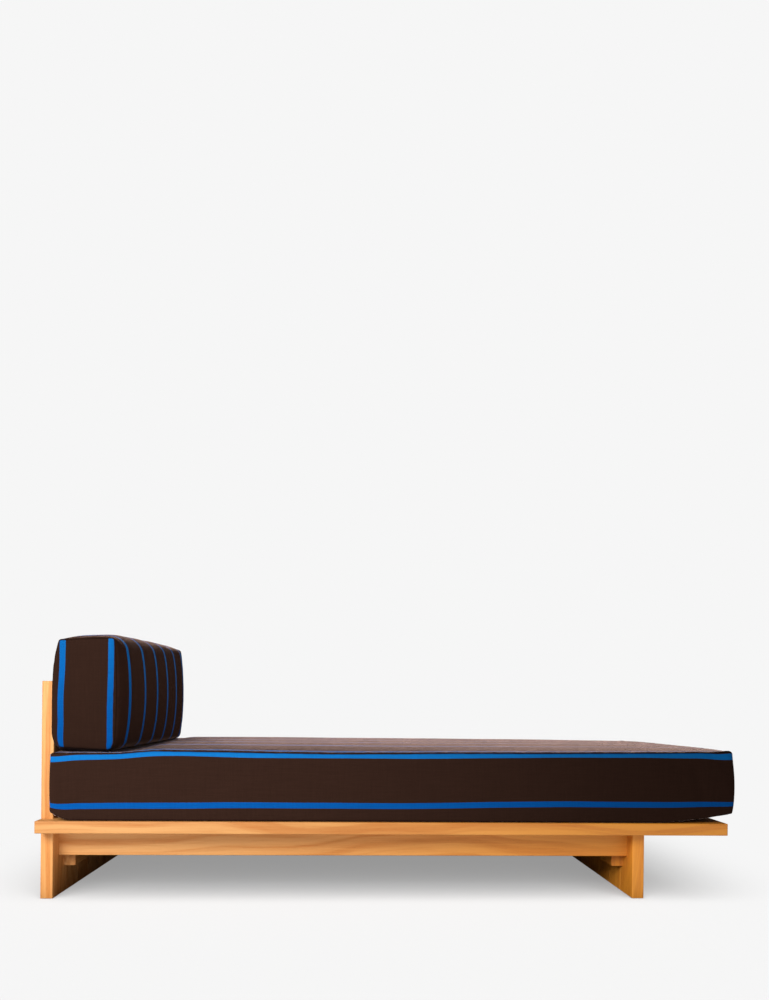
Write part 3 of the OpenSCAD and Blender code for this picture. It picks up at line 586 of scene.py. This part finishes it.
def fill_cover(piece, hold, give):
    """Fills the sewn cover by cloth simulation and keeps its folds, none deeper than give."""
    c = settings("cushions")
    data = piece.data
    start = points_of(data)
    held = piece.vertex_groups.new(name="held")
    sewn = piece.vertex_groups.new(name="sewn")
    seam = noted(data, "seam")
    for i, share in enumerate(hold):
        held.add([i], float(share), "REPLACE")
        tight = math.exp(-(seam[i] / GATHER_REACH) ** 2)
        if tight > 0.02:
            sewn.add([i], tight, "REPLACE")
    filling = piece.modifiers.new("Filling", "CLOTH")
    s = filling.settings
    s.quality = 5
    s.mass = 0.30
    s.tension_stiffness = s.compression_stiffness = 14.0
    s.shear_stiffness = 6.0
    s.bending_stiffness = 0.35
    s.use_pressure = True
    s.uniform_pressure_force = c.pressure
    s.effector_weights.gravity = 0.0
    s.vertex_group_mass = held.name
    s.pin_stiffness = 0.6
    s.vertex_group_shrink = sewn.name
    s.shrink_min = 0.0
    s.shrink_max = c.gather
    filling.point_cache.frame_start = 1
    filling.point_cache.frame_end = c.frames
    filling.collision_settings.use_collision = False
    scene = bpy.context.scene
    for step in range(1, c.frames + 1):
        scene.frame_set(step)
    filled = piece.evaluated_get(bpy.context.evaluated_depsgraph_get()).data
    moved = points_of(filled) - start
    moved -= swelling(start, moved)
    piece.modifiers.remove(filling)
    scene.frame_set(1)
    piece.vertex_groups.clear()
    length = np.linalg.norm(moved, axis=1)
    moved *= (give * np.tanh(length / give) / np.maximum(length, 1e-9))[:, None]
    kept = np.maximum(hold, 0.8 * np.exp(-(seam / HOLD_REACH) ** 2))
    set_points(data, start + moved * (1.0 - kept)[:, None])


def refine(piece):
    """Doubles the cloth's mesh once, so that its seams can be drawn finely. Sewn edges stay crisp."""
    data = piece.data
    ends = np.empty(len(data.edges) * 2, np.int32)
    data.edges.foreach_get("vertices", ends)
    on_seam = (noted(data, "seam") < ON_SEAM)[ends.reshape(-1, 2)].all(axis=1)
    creases = data.attributes.new("crease_edge", "FLOAT", "EDGE")
    creases.data.foreach_set("value", 0.7 * on_seam.astype(np.float32))
    finer = piece.modifiers.new("Finer", "SUBSURF")
    finer.levels = finer.render_levels = 1
    refined = bpy.data.meshes.new_from_object(
        piece.evaluated_get(bpy.context.evaluated_depsgraph_get()))
    piece.modifiers.remove(finer)
    name, old = piece.data.name, piece.data
    piece.data = refined
    bpy.data.meshes.remove(old)
    refined.name = name


def draw_seams(piece, seed):
    """Sinks the seams and gathers the cloth beside them into small puckers."""
    c = settings("cushions")
    data = piece.data
    co, facing, seam = points_of(data), points_of(data, "normal"), noted(data, "seam")
    near = np.exp(-(seam / VALLEY_REACH) ** 2)
    beside = np.exp(-(seam / PUCKER_REACH) ** 1.5) * (1.0 - near)
    puckers = ripple(co, 38.0, seed) + 0.6 * ripple(co, 80.0, seed + 1)
    spread = 0.5 + 0.9 * np.clip(ripple(co, 5.0, seed + 2) + 0.35, 0, 1)
    rise = -c.seam_depth * near * (1.0 + 0.25 * puckers) + PUCKER_HEIGHT * beside * puckers * spread
    set_points(data, co + facing * rise[:, None])


def fill_and_sew(piece, co, hold, give, seed):
    """Fills a cushion of this shape, draws its seams and returns its new points."""
    set_points(piece.data, co)
    fill_cover(piece, hold, give)
    refine(piece)
    draw_seams(piece, seed)
    return points_of(piece.data)


def seat_zip(co, zip_box, middle, run, axis, outward):
    """Presses a straight recess for a zip that runs along one axis into the side that faces another.

    outward is 1 where that side faces the positive way of its axis and -1 where it faces the other way.
    """
    low, high = (corner - middle for corner in zip_box)
    past_ends = np.abs(co[:, run] - (low[run] + high[run]) / 2) - (high[run] - low[run]) / 2 - ZIP_END_ROOM
    past_sides = np.abs(co[:, Z] - (low.z + high.z) / 2) - ZIP_SIDE_ROOM
    away = np.maximum(np.maximum(past_ends, past_sides), 0.0)
    share = np.where(co[:, axis] * outward > 0, eased(1.0 - away / ZIP_SLOPE), 0.0)
    level = (low if outward > 0 else high)[axis] - outward * ZIP_GAP
    deep = np.minimum(co[:, axis] * outward, level * outward) * outward
    co[:, axis] += (deep - co[:, axis]) * share
    return co


def finish_cushion(piece, co, body, nodes, material):
    """Gives a cushion its last points and its cloth, and tells the frame what it stands for."""
    set_points(piece.data, co)
    piece.data.materials.clear()
    piece.data.materials.append(material)
    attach(piece, body)
    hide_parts(*nodes)


# Operators: one for each piece or group of like pieces

class DAYBED_OT_timber(bpy.types.Operator):
    """Finish every board, slat, dowel and peg in oiled teak"""
    bl_idname = "daybed.timber"
    bl_label = "Finish Timber"

    def execute(self, context):
        low, high = HEAD_LEG
        stave = (high.y - low.y) / PANEL_STAVES
        boards = (BOARD_STRETCH, STRETCHES_FROM, X)
        pitch = SECOND_SLAT[0].x - FIRST_SLAT[0].x
        start = FIRST_SLAT[0].x - (pitch - (FIRST_SLAT[1].x - FIRST_SLAT[0].x)) / 2
        # The uprights get a lighter copy of the teak and the rails, battens and bearer darker ones: painted
        # light and painted shade
        dress(UPRIGHT_BOARDS, teak("teak_upright", Z, stave, low.y, Y, dark=1.10, seed=3.0))
        dress(("near_apron", "far_apron"), teak("teak_apron", X, seed=11.0))
        dress(("near_rail", "far_rail"), teak("teak_rail", X, dark=0.86, seed=24.0))
        dress(CROSS_BOARDS, teak("teak_cross_rail", Y, *boards, seed=5.0))
        dress(HIDDEN_CROSS_BOARDS, teak("teak_batten", Y, *boards, dark=0.86, seed=8.0))
        dress(("centre_bearer", "apron_dowels"), teak("teak_bearer", X, dark=0.86, seed=17.0))
        dress(SLATS, teak("teak_slat", Y, pitch, start, X, seed=31.0))
        dress(("tenon_pegs",), teak("teak_peg", Z, PEG_STRETCH, 0.0, X, dark=0.74, seed=41.0))
        return {"FINISHED"}


class DAYBED_OT_fastenings(bpy.types.Operator):
    """Finish the bolts, rods, washers, screws, barrel nuts and floor glides"""
    bl_idname = "daybed.fastenings"
    bl_label = "Finish Fastenings"

    def execute(self, context):
        dress(("tie_rods", "foot_bolts", "apron_bolts", "bolt_washers", "batten_screws", "slat_screws"),
              turned_metal("stainless", (0.60, 0.60, 0.61), 0.30, 0.22))
        dress(("barrel_nuts",), turned_metal("turned_brass", (0.72, 0.50, 0.20), 0.34, 0.2))
        dress(("leg_glides",), moulded_plastic("glide_nylon", (0.016, 0.016, 0.017)))
        return {"FINISHED"}


class DAYBED_OT_foam(bpy.types.Operator):
    """Finish the foam blocks inside the two cushions"""
    bl_idname = "daybed.foam"
    bl_label = "Finish Foam"

    def execute(self, context):
        dress(("mattress_core", "bolster_core"), open_foam("open_cell_foam"))
        return {"FINISHED"}


class DAYBED_OT_zips(bpy.types.Operator):
    """Finish the two zips and their sliders"""
    bl_idname = "daybed.zips"
    bl_label = "Finish Zips"

    def execute(self, context):
        for node, axis, (low, high) in (("mattress_zip", X, MATTRESS_ZIP), ("bolster_zip", Y, BOLSTER_ZIP)):
            dress((node,), zip_tape(node + "_tape", axis, (low.z + high.z) / 2))
        dress(("mattress_zip_slider", "bolster_zip_slider"),
              turned_metal("zip_slider_brass", (0.50, 0.38, 0.20), 0.36, 0.2, (300.0, 300.0, 300.0)))
        return {"FINISHED"}


class DAYBED_OT_mattress(bpy.types.Operator):
    """Sew, fill and finish the long striped mattress"""
    bl_idname = "daybed.mattress"
    bl_label = "Make Mattress"

    HEIGHT = 0.205
    CORNER = 0.012
    # The sides swell half way up and are drawn in at their seams, and the head's corners are drawn in
    BULGE, DRAW_IN, CORNER_DRAW_IN = 0.007, 0.004, 0.003
    # Height of the sides' lower stripe, and how far past the centre line the top's middle stripe lies
    LOWER_STRIPE, MIDDLE_STRIPE = 0.0480, 0.0100
    # Heights over the deck between which painted light from above makes the stripes lighter
    FADE_FROM, LIT_TO = 0.12, 0.19
    # The bolster's lower front seam, from the head leg, and the dent that the bolster presses
    BOLSTER_REACH = 0.1786
    DENT_DEPTH, DENT_RUN, DENT_SKEW = 0.009, 0.10, 0.03
    # The top's crown, its extra height at the foot, and how much higher it stands on its near side
    CROWN, FOOT_CROWN = 0.0128, 0.005
    TOP_DROP, FOOT_RISE, NEAR_RISE, NEAR_FOOT_RISE = 0.0028, 0.0033, 0.0025, 0.0055
    # How far the underside's two ends lift off the deck, and over what length
    FOOT_LIFT, FOOT_LIFT_RUN = 0.028, 0.24
    HEAD_LIFT, HEAD_LIFT_RUN = 0.024, 0.075
    # Sag of the near top seam, the ears at the foot's corners, and the waves of slack cloth
    SAG, EAR, EAR_SPREAD = 0.0050, 0.0045, 0.020
    TOP_WAVE, SIDE_WAVE = 0.0008, 0.0018

    def execute(self, context):
        c = settings("cushions")
        low, high = MATTRESS_BOX
        size = Vector((high.x - low.x - self.BULGE, high.y - low.y - 2 * self.BULGE, self.HEIGHT))
        middle = Vector((low.x + size.x / 2, 0.0, low.z))
        bolster_seam = HEAD_LEG[1].x + self.BOLSTER_REACH - middle.x
        # Stripes run along the mattress: level on its sides, lengthwise on its top
        on_sides = -self.LOWER_STRIPE
        across_of = {X: (Z, Y, on_sides), Y: (Z, X, on_sides), Z: (Y, X, -self.MIDDLE_STRIPE)}
        piece = sewn_box("mattress_cushion", size, c.mattress_cell, across_of,
                         slant=lambda x, y, z: self.wander(x / size.x + 0.5, z / self.HEIGHT))
        flat = mark_seams(piece, size, self.HEIGHT, Z)

        co = soften_edge(flat.copy(), size, self.HEIGHT, (X, Y), self.CORNER)
        u, v, t = shares_of(co, size, self.HEIGHT)
        dent = 1 - eased((co[:, X] - bolster_seam) / (self.DENT_RUN - self.DENT_SKEW * v))
        self.stuff(co, u, v, t, dent, size.x / 2)
        self.raise_ears(co, flat, size)
        self.slacken(co, v, t, dent)
        co = crumpled(co, 20.0)
        co = fill_and_sew(piece, co, self.held(co, t, dent, size.x / 2), c.mattress_give, 3.0)
        co = seat_zip(co, MATTRESS_ZIP, middle, X, Y, 1.0)
        co[:, Z] = np.maximum(co[:, Z], 0.0)
        co[:, X] = np.maximum(co[:, X], -size.x / 2 + LEAN_GAP)
        co[:, Z] = np.minimum(co[:, Z], self.highest(co, size.z, bolster_seam))
        cloth = striped_cloth("mattress_cloth", low.z + self.FADE_FROM, low.z + self.LIT_TO, 0.55)
        finish_cushion(piece, co + np.array(middle), "mattress", ("mattress_cover",),
                       cloth)
        return {"FINISHED"}

    def stuff(self, co, u, v, t, dent, end):
        """Swells the sides, crowns the top, presses the dent and lifts the underside's ends."""
        mid = 4 * t * (1 - t)
        toward_foot = (u > 0).astype(float)
        rise = (toward_foot * u) ** 2
        side = self.BULGE * mid - self.DRAW_IN * (1 - mid) * (1 - u ** 4)
        foot = self.BULGE * mid * (1 - 0.25 * v ** 8) - self.DRAW_IN * (1 - mid) * (1 - v ** 4)
        crown = (self.CROWN * (1 - u ** 6) * (1 - np.abs(v) ** 3)
                 + self.FOOT_CROWN * toward_foot * u ** 8 * (1 - v ** 4))
        # The top stands a little higher on the near side, most of all at the foot
        tilt = -self.TOP_DROP + self.FOOT_RISE * rise - v * (self.NEAR_RISE + self.NEAR_FOOT_RISE * rise)
        foot_lift = self.FOOT_LIFT * ramp(co[:, X] - end, self.FOOT_LIFT_RUN) ** 1.5
        head_lift = self.HEAD_LIFT * ramp(-co[:, X] - end, self.HEAD_LIFT_RUN) ** 1.9
        co[:, Z] += (t ** 2 * ((crown + tilt) * (1 - dent) - self.DENT_DEPTH * dent)
                     + (1 - t) ** 5 * (foot_lift + head_lift))
        far_out = np.abs(u) ** 9
        co[:, X] += toward_foot * far_out * foot + (1 - toward_foot) * far_out * v ** 8 * self.CORNER_DRAW_IN
        co[:, Y] += np.sign(v) * np.abs(v) ** 5 * side
        # The near top seam sags a little where the top is fullest
        co[:, Z] -= self.SAG * np.exp(-((u + 0.22) / 0.28) ** 2) * np.maximum(-v, 0) ** 4 * t ** 2

    def raise_ears(self, co, flat, size):
        """Makes small ears where the seams turn at the foot's top corners."""
        for y in (-1, 1):
            corner = np.array((size.x / 2 - self.CORNER, y * size.y / 2, self.HEIGHT))
            away = np.linalg.norm(flat - corner, axis=1)
            co[:, Z] += self.EAR * np.exp(-(away / self.EAR_SPREAD) ** 2)

    def slacken(self, co, v, t, dent):
        """Lays long shallow waves in the cloth, which die out where the mattress rests."""
        free = eased(t * 4) * (1 - dent * eased((t - 0.6) * 4))
        top = near_top(t)
        co[:, Z] += self.TOP_WAVE * ripple(co, 4.2, 5.0, (1.0, 0.6, 1.6)) * free * top
        belly = ripple(co, 7.0, 8.0, (1.4, 0.2, 1.0))
        co[:, Y] += np.sign(v) * np.abs(v) ** 5 * self.SIDE_WAVE * belly * free * (1 - top)

    def held(self, co, t, dent, end):
        """How firmly each point is held while the cover fills, from 0 to 1."""
        base = 1 - eased((t - 0.02) * 9)
        under_bolster = dent * eased((t - 0.85) * 8)
        against_head = 1 - eased((co[:, X] + end - 0.002) / 0.03)
        return np.clip(np.maximum.reduce([base, under_bolster, against_head, 0.7 * near_top(t)]), 0.0, 1.0)

    def highest(self, co, top, bolster_seam):
        """Highest that the top may stand at each point: level under the bolster, free past it."""
        past = eased((co[:, X] - bolster_seam - 0.004) / 0.03)
        return top - self.DENT_DEPTH + 0.0001 + past * 0.05

    def wander(self, k, t):
        """How far the slack cloth lifts the sides' stripes at shares k of the length and t of the height."""
        lift = 0.0085 * eased((k - 0.48) / 0.28)
        lift -= 0.0045 * (1 - eased((k - 0.16) / 0.12)) * (1 - t)
        for height, place, spread, level in ((0.0048, 0.19, 0.07, t), (-0.0030, 0.045, 0.04, t),
                                             (0.0065, 0.45, 0.16, t * t)):
            lift += height * math.exp(-((k - place) / spread) ** 2) * level
        lift += 0.0035 * eased(k / 0.06) * (1 - eased((k - 0.35) / 0.2)) * t
        lift -= 0.0030 * eased((k - 0.85) / 0.1) * t
        lift -= 0.0060 * (1 - eased(k / 0.045))
        return float(lift - 0.0075 * eased((k - 0.94) / 0.06) * (0.4 + 0.6 * t))


class DAYBED_OT_bolster(bpy.types.Operator):
    """Sew, fill and finish the bolster cushion at the head"""
    bl_idname = "daybed.bolster"
    bl_label = "Make Bolster"

    HEIGHT, DEPTH, EXTRA_WIDTH = 0.334, 0.178, 0.002
    # The ends swell half way up and are drawn in at their seams, and the front swells much more
    END_BULGE, DRAW_IN, FRONT_BULGE = 0.003, 0.001, 0.0273
    END_STRIPE_SHIFT = -0.0045
    # Radius of the long edges, how much rounder the front ones are at the near end than in the middle, and
    # how near the ends the upper ones grow sharper
    EDGE, EDGE_SKEW, EDGE_END_RUN = 0.020, 0.007, 0.030
    # How far the end panels' back edges lean in at the top, and how far their front edges swell half way up
    BACK_LEAN, BACK_LEAN_BESIDE, FRONT_EDGE_BULGE = 0.018, 0.008, 0.0077
    # The top's crown, and how much higher it stands at its far end and its front
    CROWN, FAR_RISE, FAR_CORNER_RISE = 0.020, 0.0085, 0.004
    FRONT_RISE, TOP_DROP = 0.0042, 0.0028
    # Swelling beside the back panel, the lower back edge's draw, and the lift of the ends' lower seams
    PANEL_SWELL, BACK_DRAW_IN = 0.0036, 0.013
    END_LIFT, END_LIFT_SKEW = 0.009, 0.005
    FRONT_WAVE, TOP_WAVE = 0.0008, 0.0012
    # Height over the mattress at which painted light from above has made the stripes fully lighter
    LIT_TO = 0.50

    def execute(self, context):
        c = settings("cushions")
        low, high = BOLSTER_BOX
        size = Vector((self.DEPTH, high.y - low.y + self.EXTRA_WIDTH, self.HEIGHT))
        middle = Vector((low.x + size.x / 2, 0.0, low.z))
        # Stripes stand upright on the front and the ends, and pass over the top without a break
        half_pitch = settings("cloth").pitch / 2
        on_ends = half_pitch + self.END_STRIPE_SHIFT
        across_of = {X: (Y, Z, half_pitch), Y: (X, Z, on_ends), Z: (Y, X, half_pitch)}
        piece = sewn_box("bolster_cushion", size, c.bolster_cell, across_of,
                         slant=lambda x, y, z: self.end_stripe(2 * x / self.DEPTH, z / self.HEIGHT))
        flat = mark_seams(piece, size, self.HEIGHT, Y)

        co = soften_edge(flat.copy(), size, self.HEIGHT, (X, Z), self.edge_radius(flat, size.y))
        u, v, t = shares_of(co, size, self.HEIGHT)
        self.stuff(co, u, v, t)
        self.slacken(co, u, t)
        co = fill_and_sew(piece, crumpled(co, 40.0), self.held(u, t), c.bolster_give, 9.0)
        co = seat_zip(co, BOLSTER_ZIP, middle, Y, X, -1.0)
        co[:, Z] = np.maximum(co[:, Z], 0.0)
        past_panel = eased((np.abs(co[:, Y]) - HEAD_LEG[1].y - 0.002) / 0.004)
        co[:, X] = np.maximum(co[:, X], -size.x / 2 + LEAN_GAP - 0.005 * past_panel)
        # The bolster's cloth is a darker copy of the mattress's: painted shade, as its upright yarns catch
        # less light
        cloth = striped_cloth("bolster_cloth", low.z, low.z + self.LIT_TO, 0.18, dark=0.82)
        finish_cushion(piece, co + np.array(middle), "bolster", ("bolster_cover",),
                       cloth)
        return {"FINISHED"}

    def edge_radius(self, flat, width):
        """Radius of the long edges at each point, which shrinks towards the ends of the upper ones."""
        radius = self.EDGE - self.EDGE_SKEW * 2 * flat[:, Y] / width * (flat[:, X] > 0)
        at_end = np.exp(-((width / 2 - np.abs(flat[:, Y])) / self.EDGE_END_RUN) ** 2)
        return radius * (1 - 0.6 * at_end * (flat[:, Z] > self.HEIGHT / 2))

    def stuff(self, co, u, v, t):
        """Swells the front and the ends, crowns the top and draws in the lower back edge."""
        mid = 4 * t * (1 - t)
        belly = mid ** (0.45 - 0.15 * eased((t - 0.3) / 0.4)) * (1 - 0.25 * v ** 2 - 0.75 * v ** 12)
        belly *= 1 - 0.16 * np.maximum(v, 0)
        ends = self.END_BULGE * mid * (1 - u ** 4) - self.DRAW_IN * (1 - mid) * (1 - u ** 4)
        crown = (self.CROWN * (1 - u ** 4) * (1 - v ** 6) + self.FAR_RISE * (v + 1)
                 + self.FAR_CORNER_RISE * np.maximum(v, 0) ** 6)
        crown += self.FRONT_RISE * u - self.TOP_DROP
        co[:, X] += self.end_edge(u, t) + np.where(u > 0, np.abs(u) ** 3 * self.FRONT_BULGE * belly, 0.0)
        # Past the back panel's edges the corners swell by a few millimetres
        past_panel = eased((np.abs(co[:, Y]) - HEAD_LEG[1].y - 0.003) / 0.008)
        co[:, X] -= self.PANEL_SWELL * past_panel * eased((-u - 0.85) / 0.12) * mid ** 0.3
        co[:, Y] += np.sign(v) * np.abs(v) ** 5 * ends
        # The lower back edge draws in, and the ends' lower seams lift off the mattress
        co[:, X] += self.BACK_DRAW_IN * np.maximum(-u, 0) ** 3 * np.clip(1 - t / 0.17, 0, 1) ** 1.8
        end_lift = self.END_LIFT - self.END_LIFT_SKEW * u
        co[:, Z] += eased((np.abs(v) - 0.93) / 0.07) * (1 - t) ** 8 * end_lift
        co[:, Z] += t ** 2 * crown

    def slacken(self, co, u, t):
        """Lays shallow waves in the cloth of the front and the top."""
        front = (u > 0).astype(float) * np.abs(u) ** 3
        co[:, X] += front * self.FRONT_WAVE * ripple(co, 8.0, 12.0, (0.3, 1.2, 0.7)) * eased(t * 5)
        co[:, Z] += self.TOP_WAVE * ripple(co, 11.0, 14.0, (1.0, 1.3, 0.3)) * near_top(t)

    def held(self, u, t):
        """How firmly each point is held while the cover fills, from 0 to 1."""
        base = 1 - eased((t - 0.01) * 12)
        back = np.where(u < 0, eased((np.abs(u) - 0.9) * 12), 0.0) * (1 - 0.55 * eased((t - 0.5) * 3))
        return np.clip(np.maximum.reduce([base, back, np.full_like(t, 0.7)]), 0.0, 1.0)

    def end_edge(self, u, t):
        """Cut of the end panels: the back edge leans in at its top, the front one swells half way up."""
        beside = self.BACK_LEAN_BESIDE * t ** 2
        back = beside * np.abs(u) ** 3 + (self.BACK_LEAN * t ** 6 - beside) * np.abs(u) ** 14
        return np.where(u > 0, self.FRONT_EDGE_BULGE * 4 * t * (1 - t) * np.abs(u) ** 12, back)

    def end_stripe(self, u, t):
        """How far the stripes on the end panels lie off the cut, so that they run nearly straight."""
        upper = eased((t - 0.3) / 0.5)
        back = 0.0068 * upper + 0.0036 * math.exp(-((t - 0.27) / 0.2) ** 2)
        return float(np.where(u > 0, 0.002 * upper, back) - self.end_edge(u, t))


class DAYBED_OT_stage(bpy.types.Operator):
    """Set the pale floor, the soft studio light and the camera"""
    bl_idname = "daybed.stage"
    bl_label = "Set Stage"

    # Place, aim and size of the large soft light, and place and spread of the floor's own sun
    KEY = ((-1.90, -3.00, 2.00), (-0.40, 0.0, 0.25), (2.4, 1.5))
    SUN_PLACE, SUN_SPREAD = (0.0, -2.7, 3.0), math.radians(88)
    # Lamps for the cushions alone: name, cushion, place, aim, size and share of the back light
    RIM_COLOUR = (1.0, 0.88, 0.80)
    RIMS = (("mattress_rim", "mattress", (-1.40, 2.3, 1.15), (-1.40, 0.0, 0.4), (1.1, 1.0), 1.65),
            ("bolster_rim", "bolster", (-1.7, 1.7, 1.5), (-0.9, 0.0, 0.7), (1.0, 0.6), 2.0),
            ("bolster_fill", "bolster", (1.2, 0.3, 1.7), (-0.75, 0.1, 0.62), (1.0, 1.0), 0.30))
    # The floor's own paleness, its light from the room, and what it sends back up at the head and the foot
    FLOOR_RADIUS, FLOOR_ALBEDO, FLOOR_ROOM_LIGHT, FLOOR_BOUNCE = 14.0, 0.15, 0.16, (1.15, 0.95)
    # The camera's turn in radians, and its upward shift as a share of the picture's longer side
    YAW, PITCH, ROLL, LENS_SHIFT = 0.0436, -0.0029, -0.0110, 0.2033

    def execute(self, context):
        s = settings("stage")
        scene = context.scene
        scene.view_settings.view_transform = "Standard"
        floor = self.floor(s)
        self.room(scene, s)
        # The floor keeps an even brightness: the key passes it by, and a broad sun of its own lights it
        place, aim, size = self.KEY
        self.link_light(self.lamp("key", "AREA", place, aim, s.key_light, size), (floor,), "EXCLUDE")
        for name, cushion, place, aim, size, share in self.RIMS:
            rim = self.lamp(name, "AREA", place, aim, share * s.back_light, size)
            rim.data.color = self.RIM_COLOUR
            zips = [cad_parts[cushion + part] for part in ("_zip", "_zip_slider")]
            self.link_light(rim, (bpy.data.objects[cushion + "_cushion"], *zips), "INCLUDE")
        sun = self.lamp("floor_light", "SUN", self.SUN_PLACE, (0.0, 0.0, 0.0), self.floor_sun(s))
        sun.data.angle = self.SUN_SPREAD
        self.link_light(sun, (floor,), "INCLUDE")
        self.camera(scene, s)
        return {"FINISHED"}

    def floor_sun(self, s):
        """Strength of the floor's own sun that makes the open floor as bright as the backdrop."""
        slope = self.SUN_PLACE[Z] / math.hypot(*self.SUN_PLACE)
        wanted = s.backdrop * (1 - s.floor_shadow) / self.FLOOR_ALBEDO
        return math.pi * (wanted - self.FLOOR_ROOM_LIGHT) / slope

    def floor(self, s):
        """A wide round floor that shows shadows near the daybed and is plain backdrop further off."""
        mesh = bmesh.new()
        bmesh.ops.create_circle(mesh, cap_ends=True, segments=96, radius=self.FLOOR_RADIUS)
        data = bpy.data.meshes.new("floor")
        mesh.to_mesh(data)
        mesh.free()
        floor = bpy.data.objects.new("floor", data)
        bpy.context.scene.collection.objects.link(floor)
        f = Finish("pale_floor")
        x, y, _ = f.place()
        near_it = (1.0 - (x * x + y * y).maths("SQRT").rise(1.0, 2.2)) * (1.0 - abs(x).rise(1.0, 1.5))
        # Past the foot leg the shadow is a little weaker
        near_it = near_it * (1.0 - 0.12 * x.rise(0.74, 0.80))
        matte = f.add("ShaderNodeBsdfDiffuse", None, {"Color": self.FLOOR_ALBEDO})
        glow = f.add("ShaderNodeEmission", None, {"Color": s.backdrop * s.floor_shadow, "Strength": 1.0})
        seen = f.add("ShaderNodeAddShader", None, {0: matte, 1: glow})
        away = f.add("ShaderNodeEmission", None, {"Color": s.backdrop, "Strength": 1.0})
        seen = f.add("ShaderNodeMixShader", None, {0: near_it, 1: away, 2: seen})
        head, foot = self.FLOOR_BOUNCE
        bounced = (-y).rise(0.36, 0.55) * (head + (foot - head) * x.rise(-0.8, 1.2))
        bounce = f.add("ShaderNodeEmission", None, {"Color": 1.0, "Strength": bounced})
        eye = f.add("ShaderNodeLightPath", out="Is Camera Ray")
        mixed = f.add("ShaderNodeMixShader", None, {0: eye, 1: bounce, 2: seen})
        f.add("ShaderNodeOutputMaterial", None, {"Surface": mixed})
        data.materials.append(f.material)
        return floor

    def room(self, scene, s):
        """Even light from the front and above, and a plain backdrop for the camera."""
        scene.world = bpy.data.worlds.new("studio")
        f = Finish("studio", scene.world)
        _, y, _ = f.parts(f.add("ShaderNodeTexCoord", out="Generated"))
        strength = s.room_light * (1.0 - 0.75 * y.rise(-0.1, 0.5))
        lit = f.add("ShaderNodeBackground", None, {"Color": 1.0, "Strength": strength})
        seen = f.add("ShaderNodeBackground", None, {"Color": s.backdrop, "Strength": 1.0})
        eye = f.add("ShaderNodeLightPath", out="Is Camera Ray")
        mixed = f.add("ShaderNodeMixShader", None, {0: eye, 1: lit, 2: seen})
        f.add("ShaderNodeOutputWorld", None, {"Surface": mixed})

    def lamp(self, name, kind, place, aim, power, size=None):
        """A lamp that is turned towards its aim and that the camera doesn't see."""
        data = bpy.data.lights.new(name, kind)
        data.energy = power
        if size:
            data.shape = "RECTANGLE"
            data.size, data.size_y = size
        lamp = bpy.data.objects.new(name, data)
        lamp.location = place
        lamp.rotation_euler = (Vector(aim) - Vector(place)).to_track_quat("-Z", "Y").to_euler()
        lamp.visible_camera = False
        bpy.context.scene.collection.objects.link(lamp)
        return lamp

    def link_light(self, lamp, pieces, state):
        """Lets a lamp reach only these pieces, or everything but them."""
        reached = bpy.data.collections.new(lamp.name + "_reach")
        for piece in pieces:
            reached.objects.link(piece)
        for link in reached.collection_objects:
            link.light_linking.link_state = state
        lamp.light_linking.receiver_collection = reached

    def camera(self, scene, s):
        """The camera that sees the daybed as the photograph does."""
        data = bpy.data.cameras.new("photograph")
        data.lens = s.lens
        data.shift_y = self.LENS_SHIFT
        yaw, pitch, roll = self.YAW, self.PITCH, self.ROLL
        ahead = Vector((math.sin(yaw) * math.cos(pitch), math.cos(yaw) * math.cos(pitch), math.sin(pitch)))
        right = Vector((math.cos(yaw), -math.sin(yaw), 0.0))
        up = right.cross(ahead)
        across = right * math.cos(roll) - up * math.sin(roll)
        upward = right * math.sin(roll) + up * math.cos(roll)
        turn = Matrix((across, upward, -ahead)).transposed().to_4x4()
        camera = bpy.data.objects.new("photograph", data)
        camera.matrix_world = Matrix.Translation(s.camera_place) @ turn
        scene.collection.objects.link(camera)
        scene.camera = camera


class DAYBED_PT_panel(bpy.types.Panel):
    bl_idname = "DAYBED_PT_panel"
    bl_label = "Striped Daybed"
    bl_space_type = "VIEW_3D"
    bl_region_type = "UI"
    bl_category = "Daybed"

    def draw(self, context):
        column = self.layout.column(align=True)
        for step in STEPS:
            column.operator(step.bl_idname)
        for group in GROUPS:
            box = self.layout.box()
            box.label(text=group.capitalize())
            values = settings(group)
            for name in values.__annotations__:
                box.prop(values, name)


STEPS = (DAYBED_OT_timber, DAYBED_OT_fastenings, DAYBED_OT_foam, DAYBED_OT_zips, DAYBED_OT_mattress,
         DAYBED_OT_bolster, DAYBED_OT_stage)
GROUPS = {"timber": DaybedTimberSettings, "cloth": DaybedClothSettings,
          "cushions": DaybedCushionSettings, "stage": DaybedStageSettings}


def register():
    for group, kind in GROUPS.items():
        bpy.utils.register_class(kind)
        setattr(bpy.types.Scene, "daybed_" + group, PointerProperty(type=kind))
    for kind in (*STEPS, DAYBED_PT_panel):
        bpy.utils.register_class(kind)


def unregister():
    for kind in reversed((*STEPS, DAYBED_PT_panel)):
        bpy.utils.unregister_class(kind)
    for group, kind in reversed(GROUPS.items()):
        delattr(bpy.types.Scene, "daybed_" + group)
        bpy.utils.unregister_class(kind)


def main():
    register()
    bpy.ops.daybed.timber()
    bpy.ops.daybed.fastenings()
    bpy.ops.daybed.foam()
    bpy.ops.daybed.zips()
    bpy.ops.daybed.mattress()
    bpy.ops.daybed.bolster()
    bpy.ops.daybed.stage()


if __name__ == "__main__":
    main()
